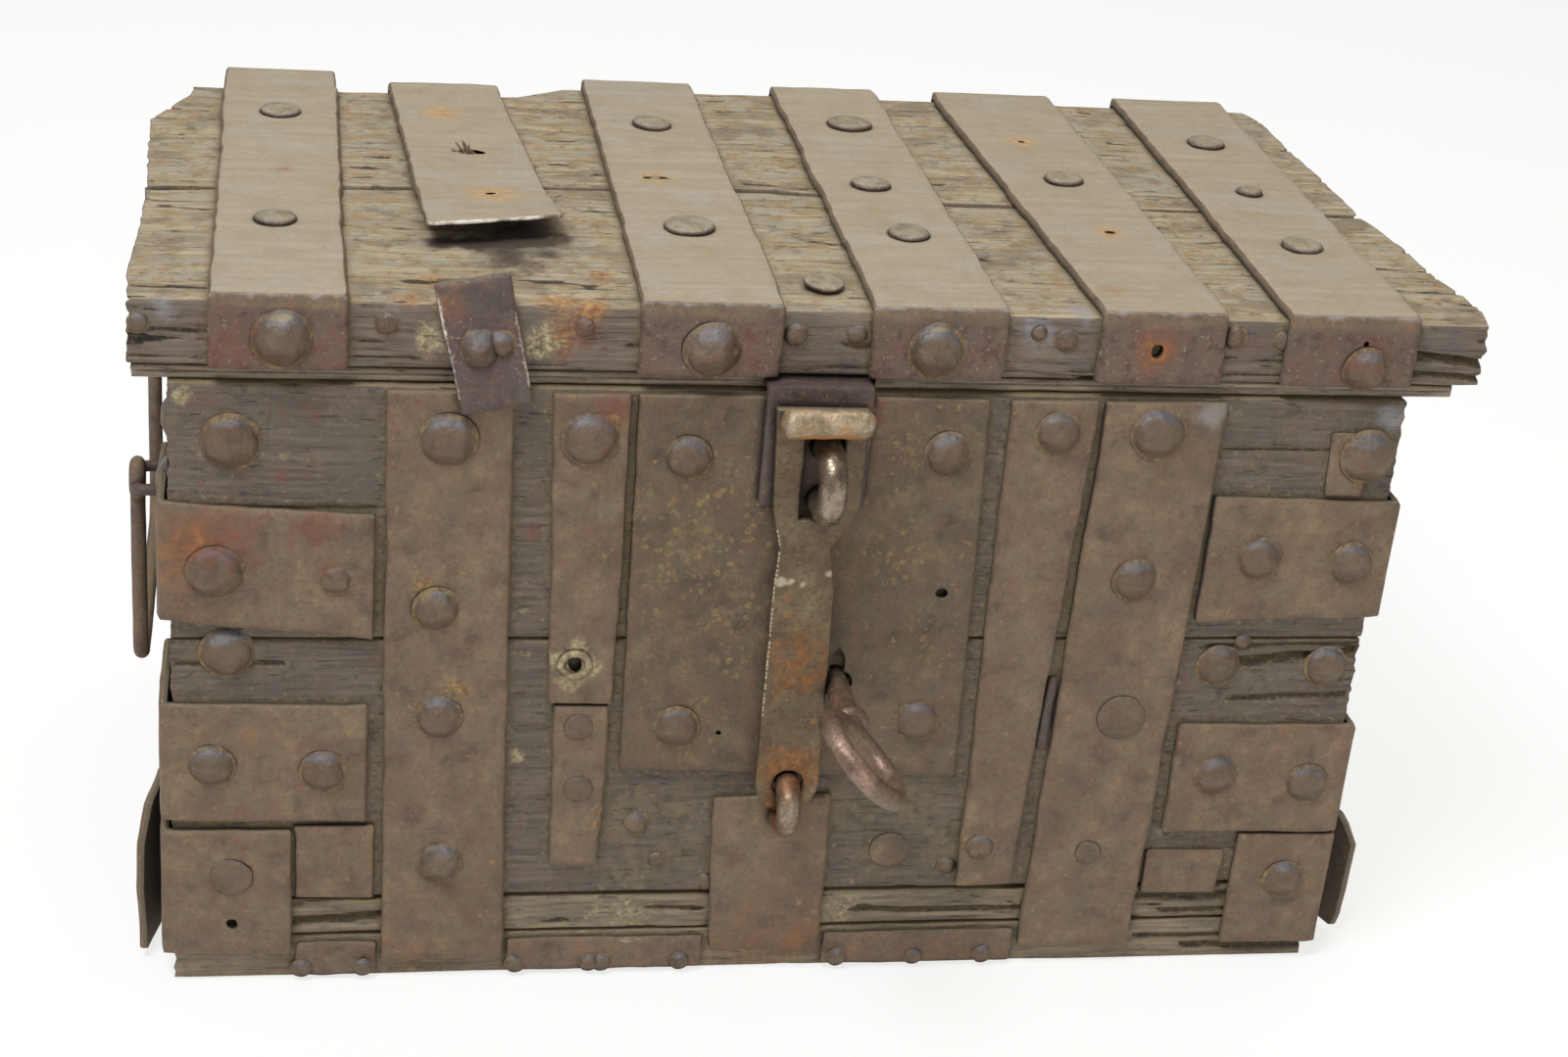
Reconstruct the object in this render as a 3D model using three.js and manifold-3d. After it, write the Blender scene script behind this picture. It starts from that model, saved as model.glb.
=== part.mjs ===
// An old iron-bound strongbox: plank body and lid, nailed straps, hasp and staple, lock and key.
// Millimetres, +Z up, front towards -Y. The origin is on the floor under the middle of the body.
import * as THREE from 'three';
import { mergeVertices } from 'three/addons/utils/BufferGeometryUtils.js';
import Module from 'manifold-3d';

const wasm = await Module();
wasm.setup();

// Driving dimensions
const body = { width: 392, depth: 222, height: 214, board: 20, base: 16, lowerStrip: 14, jointShare: 0.5935 };
const lid = { plank: 22, lining: 4.4, overLeft: 12.5, overRight: 25.5, liningInset: 2.5, liningGap: 0.9 };
const iron = { strap: 2.7, thin: 1.6, bend: 1.4, bendShare: 0.78 };
const fit = { gap: 0.3, crack: 0.6, bore: 0.3, overrun: 5 };
const nail = { large: 8.3, medium: 6.9, small: 4.6, tiny: 3.2, flat: 1.5, seat: 0.6, domeShare: 0.58 };
const facets = {
  nailSides: 10, domeSteps: 3, rodSides: 10, slimSides: 8, boreSides: 16, ringSteps: 24, bendSteps: 16,
};
const weld = 1e-4;

// Hasp and staples; drop is how far below the top of the body
const tongue = { width: 33.8, centre: 1.9, tail: 51, drop: 36, thickness: 3 };
const stapleTop = { rod: 4.5, centreX: 4.6, drop: 24, arc: 9.5, straight: 7.7, seat: 2 };
const hasp = {
  thickness: 3.2, centre: 2.2, eye: 10.5, bore: 4.9, shank: 9, waist: 8.2, wide: 14.6, topDrop: 0.5,
  slotHalf: 6.2, slotShift: 1.4, slotBelow: 15.6, slotAbove: 17.6, shoulder: 9.4, flare: 3.6, taper: 14.6,
  bar: 4.8, barLength: 29, barOut: 10.8, neck: 3.4, neckHalf: 11, skew: 1.7,
};
const stapleLow = { rod: 4, arc: 7.65, heightShare: 0.3673, bite: 8.5 };

// Lock and key; places along the key are distances out from the face of the iron
const key = {
  x: 16.2, heightShare: 0.529, shank: 3.9, collar: 6, collarOut: 23.5, collarLength: 5.5,
  bow: 16, bowRod: 3.2, bowOut: 49, bit: 10, bitWidth: 3, bitOver: 0.5, tip: 2,
  leanDegrees: 135, holeGap: 1.2, slotGap: 0.8,
};
const lockCase = { margin: 5, below: 15.2, topDrop: 6, depth: 21.6, wall: 2 };
const bolt = {
  inset: 9, thickness: 4, armWidth: 10, foot: 6.6, footPast: 0.8, footHeight: 12.2, topDrop: 13,
  finger: 6.5, reach: 11, clear: 1.7, notch: 5.6, notchDepth: 4.6, notchLead: 6, travel: 12,
  rail: 2, railGap: 0.3,
};
const catchEye = { x: 8, rod: 2.3, arc: 5.7, above: 1.1, plate: 2.3 };

// Hinges and handles
const hinge = { pin: 2.5, knuckle: 5.7, head: 3.6, headLength: 1.5, middleShare: 0.42, relief: 1 };
const cornerReturn = { handleClear: 6, short: 11 };
const handle = {
  half: 58, drop: 68, rod: 2.5, heightShare: 0.738, pivotOut: 11, eye: 4.6, bend: 11,
  pin: 1.9, pinHalf: 9, pinBend: 3, bite: 9,
};

// Planes that the pieces share
const left = -body.width / 2;
const right = body.width / 2;
const front = -body.depth / 2;
const back = body.depth / 2;
const ironBack = front - fit.gap;
const ironFace = ironBack - iron.strap;
const innerFace = front + body.board;
const liningBase = body.height + fit.gap;
const plankBase = liningBase + lid.lining + fit.gap;
const lidTop = plankBase + lid.plank;
const lidLeft = left - lid.overLeft;
const lidRight = right + lid.overRight;
const lidWidth = lidRight - lidLeft;
const onLidX = (share) => lidLeft + share * lidWidth;
const onLidY = (share) => front + share * body.depth;
const onFrontX = (share) => left + share * body.width;
const onFrontZ = (share) => share * body.height;
const tongueLeft = tongue.centre - tongue.width / 2;
const tongueRight = tongue.centre + tongue.width / 2;
const tongueBack = ironFace - fit.gap;
const tongueFace = tongueBack - tongue.thickness;
const tongueTop = plankBase - fit.gap;
const haspBack = tongueFace - fit.gap;
const haspFace = haspBack - hasp.thickness;
const haspPlane = (haspBack + haspFace) / 2;
const boardJoint = onFrontZ(body.jointShare);
const eyeZ = onFrontZ(stapleLow.heightShare);
const keyZ = onFrontZ(key.heightShare);
const pivotZ = onFrontZ(handle.heightShare);
const boltFace = innerFace + bolt.inset;
const boltTop = body.height - bolt.topDrop;
const boltArmLeft = catchEye.x - catchEye.rod - bolt.clear - bolt.reach - bolt.armWidth;
const boltFootRight = key.x + bolt.footPast;

const chest = new THREE.Group();

// Finishes
const finish = (color, roughness, metalness) =>
  new THREE.MeshStandardMaterial({ color, roughness, metalness, flatShading: true });
const topWood = finish(0x6b6054, 0.95, 0);
const darkWood = finish(0x3b342e, 0.95, 0);
const baseWood = finish(0x473c32, 0.95, 0);
const strapIron = finish(0x5d5046, 0.75, 0.55);
const darkIron = finish(0x4c4038, 0.8, 0.5);
const rustIron = finish(0x6a4a38, 0.85, 0.4);
const wornSteel = finish(0x8a7866, 0.42, 0.85);

function piece(name, solid, material) {
  const mesh = new THREE.Mesh(toGeometry(solid), material);
  mesh.name = name;
  chest.add(mesh);
}

// Closed meshes to solids and back, with the faces turned outwards
function signedVolume(points, index) {
  const corner = (i) => new THREE.Vector3().fromArray(points, index[i] * 3);
  let total = 0;
  for (let i = 0; i < index.length; i += 3) {
    total += corner(i).dot(corner(i + 1).cross(corner(i + 2)));
  }
  return total;
}

function toSolid(geometry) {
  geometry.deleteAttribute('normal');
  geometry.deleteAttribute('uv');
  const merged = mergeVertices(geometry, weld);
  const vertProperties = new Float32Array(merged.attributes.position.array);
  const triVerts = new Uint32Array(merged.index.array);
  if (signedVolume(vertProperties, triVerts) < 0) {
    for (let i = 0; i < triVerts.length; i += 3) {
      [triVerts[i], triVerts[i + 1]] = [triVerts[i + 1], triVerts[i]];
    }
  }
  return new wasm.Manifold(new wasm.Mesh({ numProp: 3, vertProperties, triVerts }));
}

function toGeometry(solid) {
  const mesh = solid.getMesh();
  const geometry = new THREE.BufferGeometry();
  geometry.setAttribute('position', new THREE.BufferAttribute(new Float32Array(mesh.vertProperties), 3));
  geometry.setIndex(new THREE.BufferAttribute(new Uint32Array(mesh.triVerts), 1));
  geometry.computeVertexNormals();
  return geometry;
}

const fuse = (solids) => solids.reduce((sum, solid) => sum.add(solid));
const cut = (solid, tools) => tools.reduce((rest, tool) => rest.subtract(tool), solid);

// A block between two corners
function block(low, high) {
  const size = high.map((value, axis) => value - low[axis]);
  const geometry = new THREE.BoxGeometry(...size);
  geometry.translate(...low.map((value, axis) => value + size[axis] / 2));
  return toSolid(geometry);
}

// A plate with an outline in X and Z that fills y = near to y = far
function uprightPlate(outline, near, far) {
  const shape = new THREE.Shape(outline.map(([x, z]) => new THREE.Vector2(x, z)));
  const geometry = new THREE.ExtrudeGeometry(shape, { depth: far - near, bevelEnabled: false });
  geometry.rotateX(Math.PI / 2);
  geometry.translate(0, far, 0);
  return toSolid(geometry);
}

// A board with an outline in X and Y that fills z = low to z = high
function flatBoard(outline, low, high) {
  const shape = new THREE.Shape(outline.map(([x, y]) => new THREE.Vector2(x, y)));
  const geometry = new THREE.ExtrudeGeometry(shape, { depth: high - low, bevelEnabled: false });
  geometry.translate(0, 0, low);
  return toSolid(geometry);
}

// A bent sheet: each row has the two edge points of the inner face and the way out to the outer face
function bentSheet(rows) {
  const points = rows.flatMap(({ a, b, out }) => {
    const shift = new THREE.Vector3(...out);
    const inner = [new THREE.Vector3(...a), new THREE.Vector3(...b)];
    return [inner[0], inner[1], inner[1].clone().add(shift), inner[0].clone().add(shift)];
  });
  const index = [0, 1, 2, 0, 2, 3];
  for (let row = 0; row + 1 < rows.length; row += 1) {
    for (let side = 0; side < 4; side += 1) {
      const p = row * 4 + side;
      const q = row * 4 + ((side + 1) % 4);
      index.push(p, p + 4, q, q, p + 4, q + 4);
    }
  }
  const last = (rows.length - 1) * 4;
  index.push(last, last + 2, last + 1, last, last + 3, last + 2);
  const geometry = new THREE.BufferGeometry().setFromPoints(points);
  geometry.setIndex(index);
  return toSolid(geometry);
}

// A round bar along X, Y or Z; centre holds the other two places in the order X, Y, Z
function bar(axis, centre, radius, from, to, sides = facets.boreSides) {
  const geometry = new THREE.CylinderGeometry(radius, radius, to - from, sides);
  const along = (from + to) / 2;
  if (axis === 'x') geometry.rotateZ(Math.PI / 2).translate(along, centre[0], centre[1]);
  if (axis === 'y') geometry.translate(centre[0], along, centre[1]);
  if (axis === 'z') geometry.rotateX(Math.PI / 2).translate(centre[0], centre[1], along);
  return toSolid(geometry);
}

// A bar of round section bent along straight runs and arcs
function bentBar(curves, radius, steps, sides = facets.rodSides) {
  const path = new THREE.CurvePath();
  curves.forEach((curve) => path.add(curve));
  const ring = Array.from({ length: sides }, (_, i) => {
    const angle = (i / sides) * Math.PI * 2;
    return new THREE.Vector2(Math.cos(angle) * radius, Math.sin(angle) * radius);
  });
  const options = { steps, extrudePath: path, bevelEnabled: false };
  return toSolid(new THREE.ExtrudeGeometry(new THREE.Shape(ring), options));
}

const line = (from, to) => new THREE.LineCurve3(new THREE.Vector3(...from), new THREE.Vector3(...to));

class Arc extends THREE.Curve {
  constructor(centre, startArm, endArm, turn) {
    super();
    this.centre = new THREE.Vector3(...centre);
    this.startArm = new THREE.Vector3(...startArm);
    this.endArm = new THREE.Vector3(...endArm);
    this.turn = turn;
  }

  getPoint(t, target = new THREE.Vector3()) {
    const angle = t * this.turn;
    return target.copy(this.centre)
      .addScaledVector(this.startArm, Math.cos(angle))
      .addScaledVector(this.endArm, Math.sin(angle));
  }
}

// A hammered nail head, seated a little in the iron: a dome, or a low flat head
function nailHead(centre, facing, radius, height = radius * nail.domeShare) {
  const outline = [new THREE.Vector2(0, -nail.seat), new THREE.Vector2(radius, -nail.seat)];
  for (let ring = 0; ring < facets.domeSteps; ring += 1) {
    const angle = (ring / facets.domeSteps) * (Math.PI / 2);
    outline.push(new THREE.Vector2(Math.cos(angle) * radius, Math.sin(angle) * height));
  }
  outline.push(new THREE.Vector2(0, height));
  const geometry = new THREE.LatheGeometry(outline, facets.nailSides);
  if (facing === 'front') geometry.rotateX(Math.PI);
  if (facing === 'up') geometry.rotateX(Math.PI / 2);
  if (facing === 'left') geometry.rotateZ(Math.PI / 2);
  if (facing === 'right') geometry.rotateZ(-Math.PI / 2);
  return toSolid(geometry.translate(...centre));
}

// Heads and holes on an iron plate that faces front: rows of [x, z, size, kind]
function dressFront(plate, marks, face = ironFace) {
  return marks.reduce((solid, [x, z, radius, kind]) => {
    if (kind === 'hole') {
      return solid.subtract(bar('y', [x, z], radius, face - fit.overrun, face + iron.strap + fit.gap));
    }
    const height = kind === 'flat' ? nail.flat : radius * nail.domeShare;
    return solid.add(nailHead([x, face, z], 'front', radius, height));
  }, plate);
}

// Lid: two weathered planks on thin lining boards
const jointShares = [[0, 0.44], [0.19, 0.47], [0.31, 0.49], [0.48, 0.505], [0.62, 0.468], [0.977, 0.464]];
const frontPlankShares = [[0, 0], [0.995, 0], [0.999, 0.06], [0.991, 0.2], [0.986, 0.34]];
const rearPlankShares = [[0.978, 0.93], [0.965, 1], [0.34, 1], [0.31, 0.945], [0.03, 0.945], [0, 0.8]];

function lidPlanks() {
  const crack = fit.crack / 2;
  const onLid = (shares) => shares.map(([x, y]) => [onLidX(x), onLidY(y)]);
  const joint = (side) => onLid(jointShares).map(([x, y]) => [x, y + side * crack]);
  const tailSlot = block(
    [tongueLeft - fit.gap, front - fit.overrun, liningBase],
    [tongueRight + fit.gap, front + tongue.tail, plankBase],
  );
  const frontOutline = [...onLid(frontPlankShares), ...joint(-1).reverse()];
  const rearOutline = [...joint(1), ...onLid(rearPlankShares)];
  piece('lid_plank_front', flatBoard(frontOutline, plankBase, lidTop).subtract(tailSlot), topWood);
  piece('lid_plank_rear', flatBoard(rearOutline, plankBase, lidTop), topWood);
}

const liningShares = { left: 0.0058, right: 0.976, slant: 0.012 };

function liningBoards() {
  const { left: start, right: end, slant } = liningShares;
  const [near, far] = [front + lid.liningInset, back - lid.liningInset];
  const [inLeft, inRight] = [tongueLeft - lid.liningGap, tongueRight + lid.liningGap];
  const boards = {
    lid_lining_left: [[onLidX(start), near], [inLeft, near], [inLeft, far], [onLidX(start + slant), far]],
    lid_lining_right: [[inRight, near], [onLidX(end), near], [onLidX(end - slant), far], [inRight, far]],
  };
  Object.entries(boards).forEach(([name, outline]) => {
    piece(name, flatBoard(outline, liningBase, liningBase + lid.lining), darkWood);
  });
}

// Straps over the lid: shares of the lid's width at the front and back, and places along its depth
const lidStrapShares = {
  lid_strap_1: {
    front: [0.060, 0.1535], back: [0.060, 0.152], hinged: true,
    top: [[0.77, 0.5, 'medium'], [0.275, 0.47, 'medium']], face: [[0.5, 0.53, 'large']],
  },
  lid_strap_3: {
    front: [0.358, 0.4605], back: [0.3615, 0.457], hinged: true,
    top: [[0.766, 0.5, 'medium'], [0.286, 0.5, 'large']], face: [[0.45, 0.5, 'large']],
  },
  lid_strap_4: {
    front: [0.524, 0.6225], back: [0.5285, 0.6205], hinged: false,
    top: [[0.80, 0.56, 'large'], [0.498, 0.45, 'medium'], [0.28, 0.54, 'medium']],
    face: [[0.5, 0.48, 'large']],
  },
  lid_strap_5: {
    front: [0.692, 0.787], back: [0.6726, 0.7812], hinged: false,
    top: [[0.55, 0.52, 'medium']], face: [], holes: [[0.313, 0.52]], faceHole: [0.5, 0.52],
  },
  lid_strap_6: {
    front: [0.8345, 0.9355], back: [0.840, 0.940], hinged: true,
    top: [[0.76, 0.5, 'medium'], [0.514, 0.5, 'small'], [0.27, 0.54, 'medium']],
    face: [[0.64, 0.36, 'medium']],
  },
};
const flangeHeight = lidTop - plankBase - fit.gap;
const hingeZ = body.height + fit.gap / 2;
const hingeY = back + fit.gap + hinge.knuckle;

// The strap's inner line runs up the front of the lid, over the top and down the back
function lidStrapSheet({ front: frontShares, back: backShares }, backBottom) {
  const strap = iron.strap;
  const top = lidTop + fit.gap;
  const [near, far] = [front - fit.gap, back + fit.gap];
  const row = (share, y, z, out) => {
    const [frontA, frontB] = frontShares.map(onLidX);
    const [backA, backB] = backShares.map(onLidX);
    const a = frontA + (backA - frontA) * share;
    const b = frontB + (backB - frontB) * share;
    return { a: [a, y, z], b: [b, y, z], out };
  };
  const { bend, bendShare } = iron;
  const mitre = strap * bendShare;
  return bentSheet([
    row(0, near, plankBase + fit.gap, [0, -strap, 0]),
    row(0, near, top - bend, [0, -strap, 0]),
    row(0, near, top, [0, -mitre, mitre]),
    row(0, near + bend, top, [0, 0, strap]),
    row(1, far - bend, top, [0, 0, strap]),
    row(1, far, top, [0, mitre, mitre]),
    row(1, far, top - bend, [0, strap, 0]),
    row(1, far, backBottom, [0, strap, 0]),
  ]);
}

// Knuckles on a hinge leaf; the middle one belongs to the body and the outer ones to the lid
function knuckleSpans([low, high]) {
  const middle = ((high - low) * hinge.middleShare) / 2;
  const centre = (low + high) / 2;
  return {
    outer: [[low, centre - middle - fit.gap], [centre + middle + fit.gap, high]],
    inner: [[centre - middle, centre + middle]],
    gap: [centre - middle - fit.gap * 2, centre + middle + fit.gap * 2],
  };
}

function knuckleTab([from, to], upper) {
  const roll = bar('x', [hingeY, hingeZ], hinge.knuckle, from, to);
  const reach = hinge.knuckle + hinge.relief + fit.overrun;
  const ends = upper ? [hingeZ, hingeZ + reach] : [hingeZ - reach, hingeZ];
  const leaf = block([from, back + fit.gap, ends[0]], [to, back + fit.gap + iron.strap, ends[1]]);
  return roll.add(leaf);
}

const pinHole = ([low, high]) =>
  bar('x', [hingeY, hingeZ], hinge.pin + fit.bore, low - fit.overrun, high + fit.overrun);

function lidStrap(name, place) {
  const span = place.back.map(onLidX);
  const clear = hingeZ + hinge.knuckle + hinge.relief;
  let solid = lidStrapSheet(place, place.hinged ? clear : plankBase + fit.gap);
  if (place.hinged) {
    const tabs = knuckleSpans(span).outer.map((part) => knuckleTab(part, true));
    solid = cut(fuse([solid, ...tabs]), [pinHole(span)]);
  }
  const topFace = lidTop + fit.gap + iron.strap;
  const acrossAt = (y, x) => {
    const [a, b] = [0, 1].map((side) => place.front[side] + (place.back[side] - place.front[side]) * y);
    return onLidX(a + (b - a) * x);
  };
  place.top.forEach(([y, x, size]) => {
    const head = nailHead([acrossAt(y, x), onLidY(y), topFace], 'up', nail[size], nail.flat);
    solid = solid.add(head);
  });
  place.face.forEach(([z, x, size]) => {
    const head = nailHead([acrossAt(0, x), ironFace, plankBase + z * flangeHeight], 'front', nail[size]);
    solid = solid.add(head);
  });
  (place.holes ?? []).forEach(([y, x]) => {
    const hole = bar('z', [acrossAt(y, x), onLidY(y)], nail.tiny / 2, lidTop, topFace + fit.overrun);
    solid = solid.subtract(hole);
  });
  if (place.faceHole) {
    const [z, x] = place.faceHole;
    const centre = [acrossAt(0, x), plankBase + z * flangeHeight];
    solid = solid.subtract(bar('y', centre, nail.tiny, ironFace - fit.overrun, front));
  }
  piece(name, solid, strapIron);
}

// The broken second strap: a rear piece whose torn end lifts, and a scrap that leans at the front edge
const brokenStrap = {
  rearBackShares: [0.1955, 0.2885], rearFrontShares: [0.2125, 0.314],
  depthShares: [0.945, 0.6, 0.42, 0.232], lift: [0, 0, 1.5, 7], pointShare: 0.025,
};
const scrapShares = { top: [0.2123, 0.2644], foot: [0.2335, 0.2842] };
const scrap = { topRise: [6.5, 10.5], footDrop: [7, 2.4], kick: 5 };

function brokenStrapPieces() {
  const { rearBackShares, rearFrontShares, depthShares, lift, pointShare } = brokenStrap;
  const { strap, bend, bendShare } = iron;
  const top = lidTop + fit.gap;
  const mitre = strap * bendShare;
  const [nearest, farthest] = [depthShares.at(-1), depthShares[0]];
  const torn = depthShares.map((depth, i) => {
    const share = (farthest - depth) / (farthest - nearest);
    const [a, b] = [0, 1].map((side) =>
      onLidX(rearBackShares[side] + (rearFrontShares[side] - rearBackShares[side]) * share));
    const skew = i === depthShares.length - 1 ? pointShare : 0;
    const z = top + lift[i];
    return { a: [a, onLidY(depth - skew), z], b: [b, onLidY(depth + skew), z], out: [0, 0, strap] };
  });
  const edgeRow = ([a, b], y, z, out) => ({ a: [a, y, z], b: [b, y, z], out });
  const rearEdge = rearBackShares.map(onLidX);
  const drop = onLidY(farthest) + bend;
  const turnedDown = [
    edgeRow(rearEdge, drop, plankBase + fit.gap, [0, strap, 0]),
    edgeRow(rearEdge, drop, top - bend, [0, strap, 0]),
    edgeRow(rearEdge, drop, top, [0, mitre, mitre]),
  ];
  piece('lid_strap_2_rear', bentSheet([...turnedDown, ...torn]), strapIron);

  const feet = scrap.footDrop.map((footDrop) => body.height - footDrop);
  const kicked = ironBack - scrap.kick;
  const tops = scrap.topRise.map((rise, i) => [
    onLidX(scrapShares.top[i]), ironBack + (scrap.kick * rise) / (lidTop - feet[i]), lidTop + rise,
  ]);
  const ends = feet.map((z, i) => [onLidX(scrapShares.foot[i]), kicked, z]);
  const outward = [0, -strap, 0];
  const plate = bentSheet([ends, tops].map(([a, b]) => ({ a, b, out: outward })));
  const middle = (tops[0][0] + ends[1][0]) / 2;
  const lump = nailHead([middle, ironFace, plankBase + flangeHeight / 2], 'front', nail.medium);
  piece('lid_strap_2_fragment', plate.add(lump), darkIron);
}

// Tongue: lies under the planks, bends down over the lock plate and carries the upper staple
const stapleTopZ = body.height - stapleTop.drop;

function lidTongue() {
  const under = tongueTop - tongue.thickness;
  const low = body.height - tongue.drop;
  const flat = block([tongueLeft, tongueFace, under], [tongueRight, front + tongue.tail, tongueTop]);
  const drop = block([tongueLeft, tongueFace, low], [tongueRight, tongueBack, under + tongue.thickness / 2]);
  const legs = [1, -1].map((side) => {
    const centre = [stapleTop.centreX, stapleTopZ + side * stapleTop.arc];
    return bar('y', centre, stapleTop.rod + fit.bore, tongueFace - fit.overrun, tongueBack + fit.gap / 2);
  });
  piece('lid_tongue', cut(flat.add(drop), legs), darkIron);
}

function upperStaple() {
  const { centreX: x, arc, rod, straight, seat } = stapleTop;
  const z = stapleTopZ;
  const bend = tongueFace - straight;
  const root = tongueFace + seat;
  const loop = bentBar([
    line([x, root, z + arc], [x, bend, z + arc]),
    new Arc([x, bend, z], [0, 0, arc], [0, -arc, 0], Math.PI),
    line([x, bend, z - arc], [x, root, z - arc]),
  ], rod, facets.bendSteps);
  piece('upper_staple', loop, wornSteel);
}

// Catch: an eye under the tongue that the bolt's finger enters
function lockCatch() {
  const { x, rod, arc, above, plate } = catchEye;
  const y = boltFace + bolt.thickness / 2;
  const z = boltTop - bolt.finger + above;
  const seat = tongueTop - tongue.thickness - fit.gap;
  const near = innerFace + fit.gap;
  const pad = block([2 * x - tongueRight, near, seat - plate], [tongueRight, 2 * y - near, seat]);
  const eye = bentBar([
    line([x, y - arc, seat - plate / 2], [x, y - arc, z]),
    new Arc([x, y, z], [0, -arc, 0], [0, 0, -arc], Math.PI),
    line([x, y + arc, z], [x, y + arc, seat - plate / 2]),
  ], rod, facets.bendSteps);
  piece('lock_catch', pad.add(eye), darkIron);
}

// Body boards
const legHole = (z) => bar('y', [hasp.centre, z], stapleLow.rod + fit.bore, ironFace - fit.overrun,
  front + stapleLow.bite + fit.gap);
const lowerStapleZ = eyeZ - stapleLow.arc;
const lowerLegs = [lowerStapleZ + stapleLow.arc, lowerStapleZ - stapleLow.arc];

function keyhole(from, to) {
  const shank = bar('y', [key.x, keyZ], key.shank + key.holeGap, from, to);
  const half = key.bitWidth / 2 + key.slotGap;
  const slot = block([key.x - half, from, keyZ - key.bit - key.slotGap], [key.x + half, to, keyZ]);
  return shank.add(slot);
}

function bodyBoards() {
  const bottom = body.base + fit.gap;
  const strip = bottom + body.lowerStrip;
  const wall = (near, far, low, high) => block([left, near, low], [right, far, high]);
  piece('base_board', block([left, front, 0], [right, back, body.base]), baseWood);
  piece('front_board_lower', wall(front, innerFace, bottom, strip), baseWood);
  const middle = wall(front, innerFace, strip + fit.crack, boardJoint);
  const through = keyhole(front - fit.overrun, innerFace + fit.overrun);
  piece('front_board_middle', cut(middle, [through, ...lowerLegs.map(legHole)]), darkWood);
  piece('front_board_upper', wall(front, innerFace, boardJoint + fit.crack, body.height), darkWood);
  piece('back_board_lower', wall(back - body.board, back, bottom, boardJoint), darkWood);
  piece('back_board_upper', wall(back - body.board, back, boardJoint + fit.crack, body.height), darkWood);
  const inner = [innerFace + fit.gap, -innerFace - fit.gap];
  [-1, 1].forEach((side) => {
    const ends = side < 0 ? [left, left + body.board] : [right - body.board, right];
    const board = block([ends[0], inner[0], bottom], [ends[1], inner[1], body.height]);
    piece(side < 0 ? 'end_board_left' : 'end_board_right', cut(board, handleHoles(side)), darkWood);
  });
}

// Irons on the front: corner shares of the front's width and height, from top left round to bottom left
const frontIronShares = {
  front_strap_1: [[0.168, 0.997], [0.265, 0.998], [0.276, 0.033], [0.1735, 0.036]],
  front_strap_2_upper: [[0.296, 0.996], [0.358, 0.996], [0.357, 0.49], [0.3045, 0.492]],
  front_strap_2_lower: [[0.309, 0.4875], [0.3545, 0.4865], [0.3535, 0.203], [0.3115, 0.203]],
  lock_plate: [[0.362, 0.997], [0.644, 0.997], [0.655, 0.358], [0.366, 0.374]],
  front_strap_4: [[0.6625, 0.996], [0.7355, 0.997], [0.7155, 0.155], [0.667, 0.153]],
  front_strap_5: [[0.7405, 0.996], [0.842, 0.998], [0.832, 0.030], [0.7295, 0.039]],
  hasp_plate: [[0.4475, 0.318], [0.456, 0.329], [0.5495, 0.327], [0.551, 0.038], [0.4535, 0.042]],
  old_plate_left: [[0.1005, 0.28], [0.166, 0.279], [0.167, 0.146], [0.101, 0.149]],
  old_plate_right: [[0.837, 0.214], [0.908, 0.212], [0.906, 0.129], [0.836, 0.131]],
  remnant_plate: [[0.9365, 0.95], [0.972, 0.95], [0.9705, 0.8435], [0.9385, 0.8435]],
};
const frontMarkShares = {
  front_strap_1: [
    [0.215, 0.923, 'large'], [0.2105, 0.653, 'medium'], [0.2155, 0.471, 'medium'], [0.219, 0.215, 'medium'],
  ],
  front_strap_2_upper: [[0.326, 0.929, 'large'], [0.324, 0.561, 'small', 'hole']],
  front_strap_2_lower: [[0.3295, 0.453, 'small', 'flat'], [0.3325, 0.344, 'small', 'flat']],
  lock_plate: [
    [0.404, 0.9, 'medium'], [0.6135, 0.912, 'medium'], [0.411, 0.452, 'medium'], [0.614, 0.461, 'medium'],
    [0.6225, 0.682, 'tiny', 'hole'],
  ],
  front_strap_4: [[0.7025, 0.946, 'medium'], [0.684, 0.228, 'small']],
  front_strap_5: [
    [0.787, 0.948, 'large'], [0.7855, 0.705, 'medium'],
    [0.792, 0.4645, 'large', 'flat'], [0.7815, 0.216, 'small', 'flat'],
  ],
  remnant_plate: [[0.958, 0.9126, 'medium']],
};
const thinIrons = ['old_plate_left', 'old_plate_right', 'remnant_plate'];
const stapledIrons = ['lock_plate', 'hasp_plate'];
const holeShare = 0.6;

function frontIrons() {
  Object.entries(frontIronShares).forEach(([name, corners]) => {
    const outline = corners.map(([x, z]) => [onFrontX(x), onFrontZ(z)]);
    const face = ironBack - (thinIrons.includes(name) ? iron.thin : iron.strap);
    const marks = (frontMarkShares[name] ?? []).map(([x, z, size, kind]) =>
      [onFrontX(x), onFrontZ(z), nail[size] * (kind === 'hole' ? holeShare : 1), kind]);
    const plate = dressFront(uprightPlate(outline, face, ironBack), marks, face);
    const holes = name === 'lock_plate' ? [keyhole(face - fit.overrun, front)] : [];
    if (stapledIrons.includes(name)) holes.push(...lowerLegs.map(legHole));
    piece(name, cut(plate, holes), name === 'lock_plate' ? darkIron : strapIron);
  });
}

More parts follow.
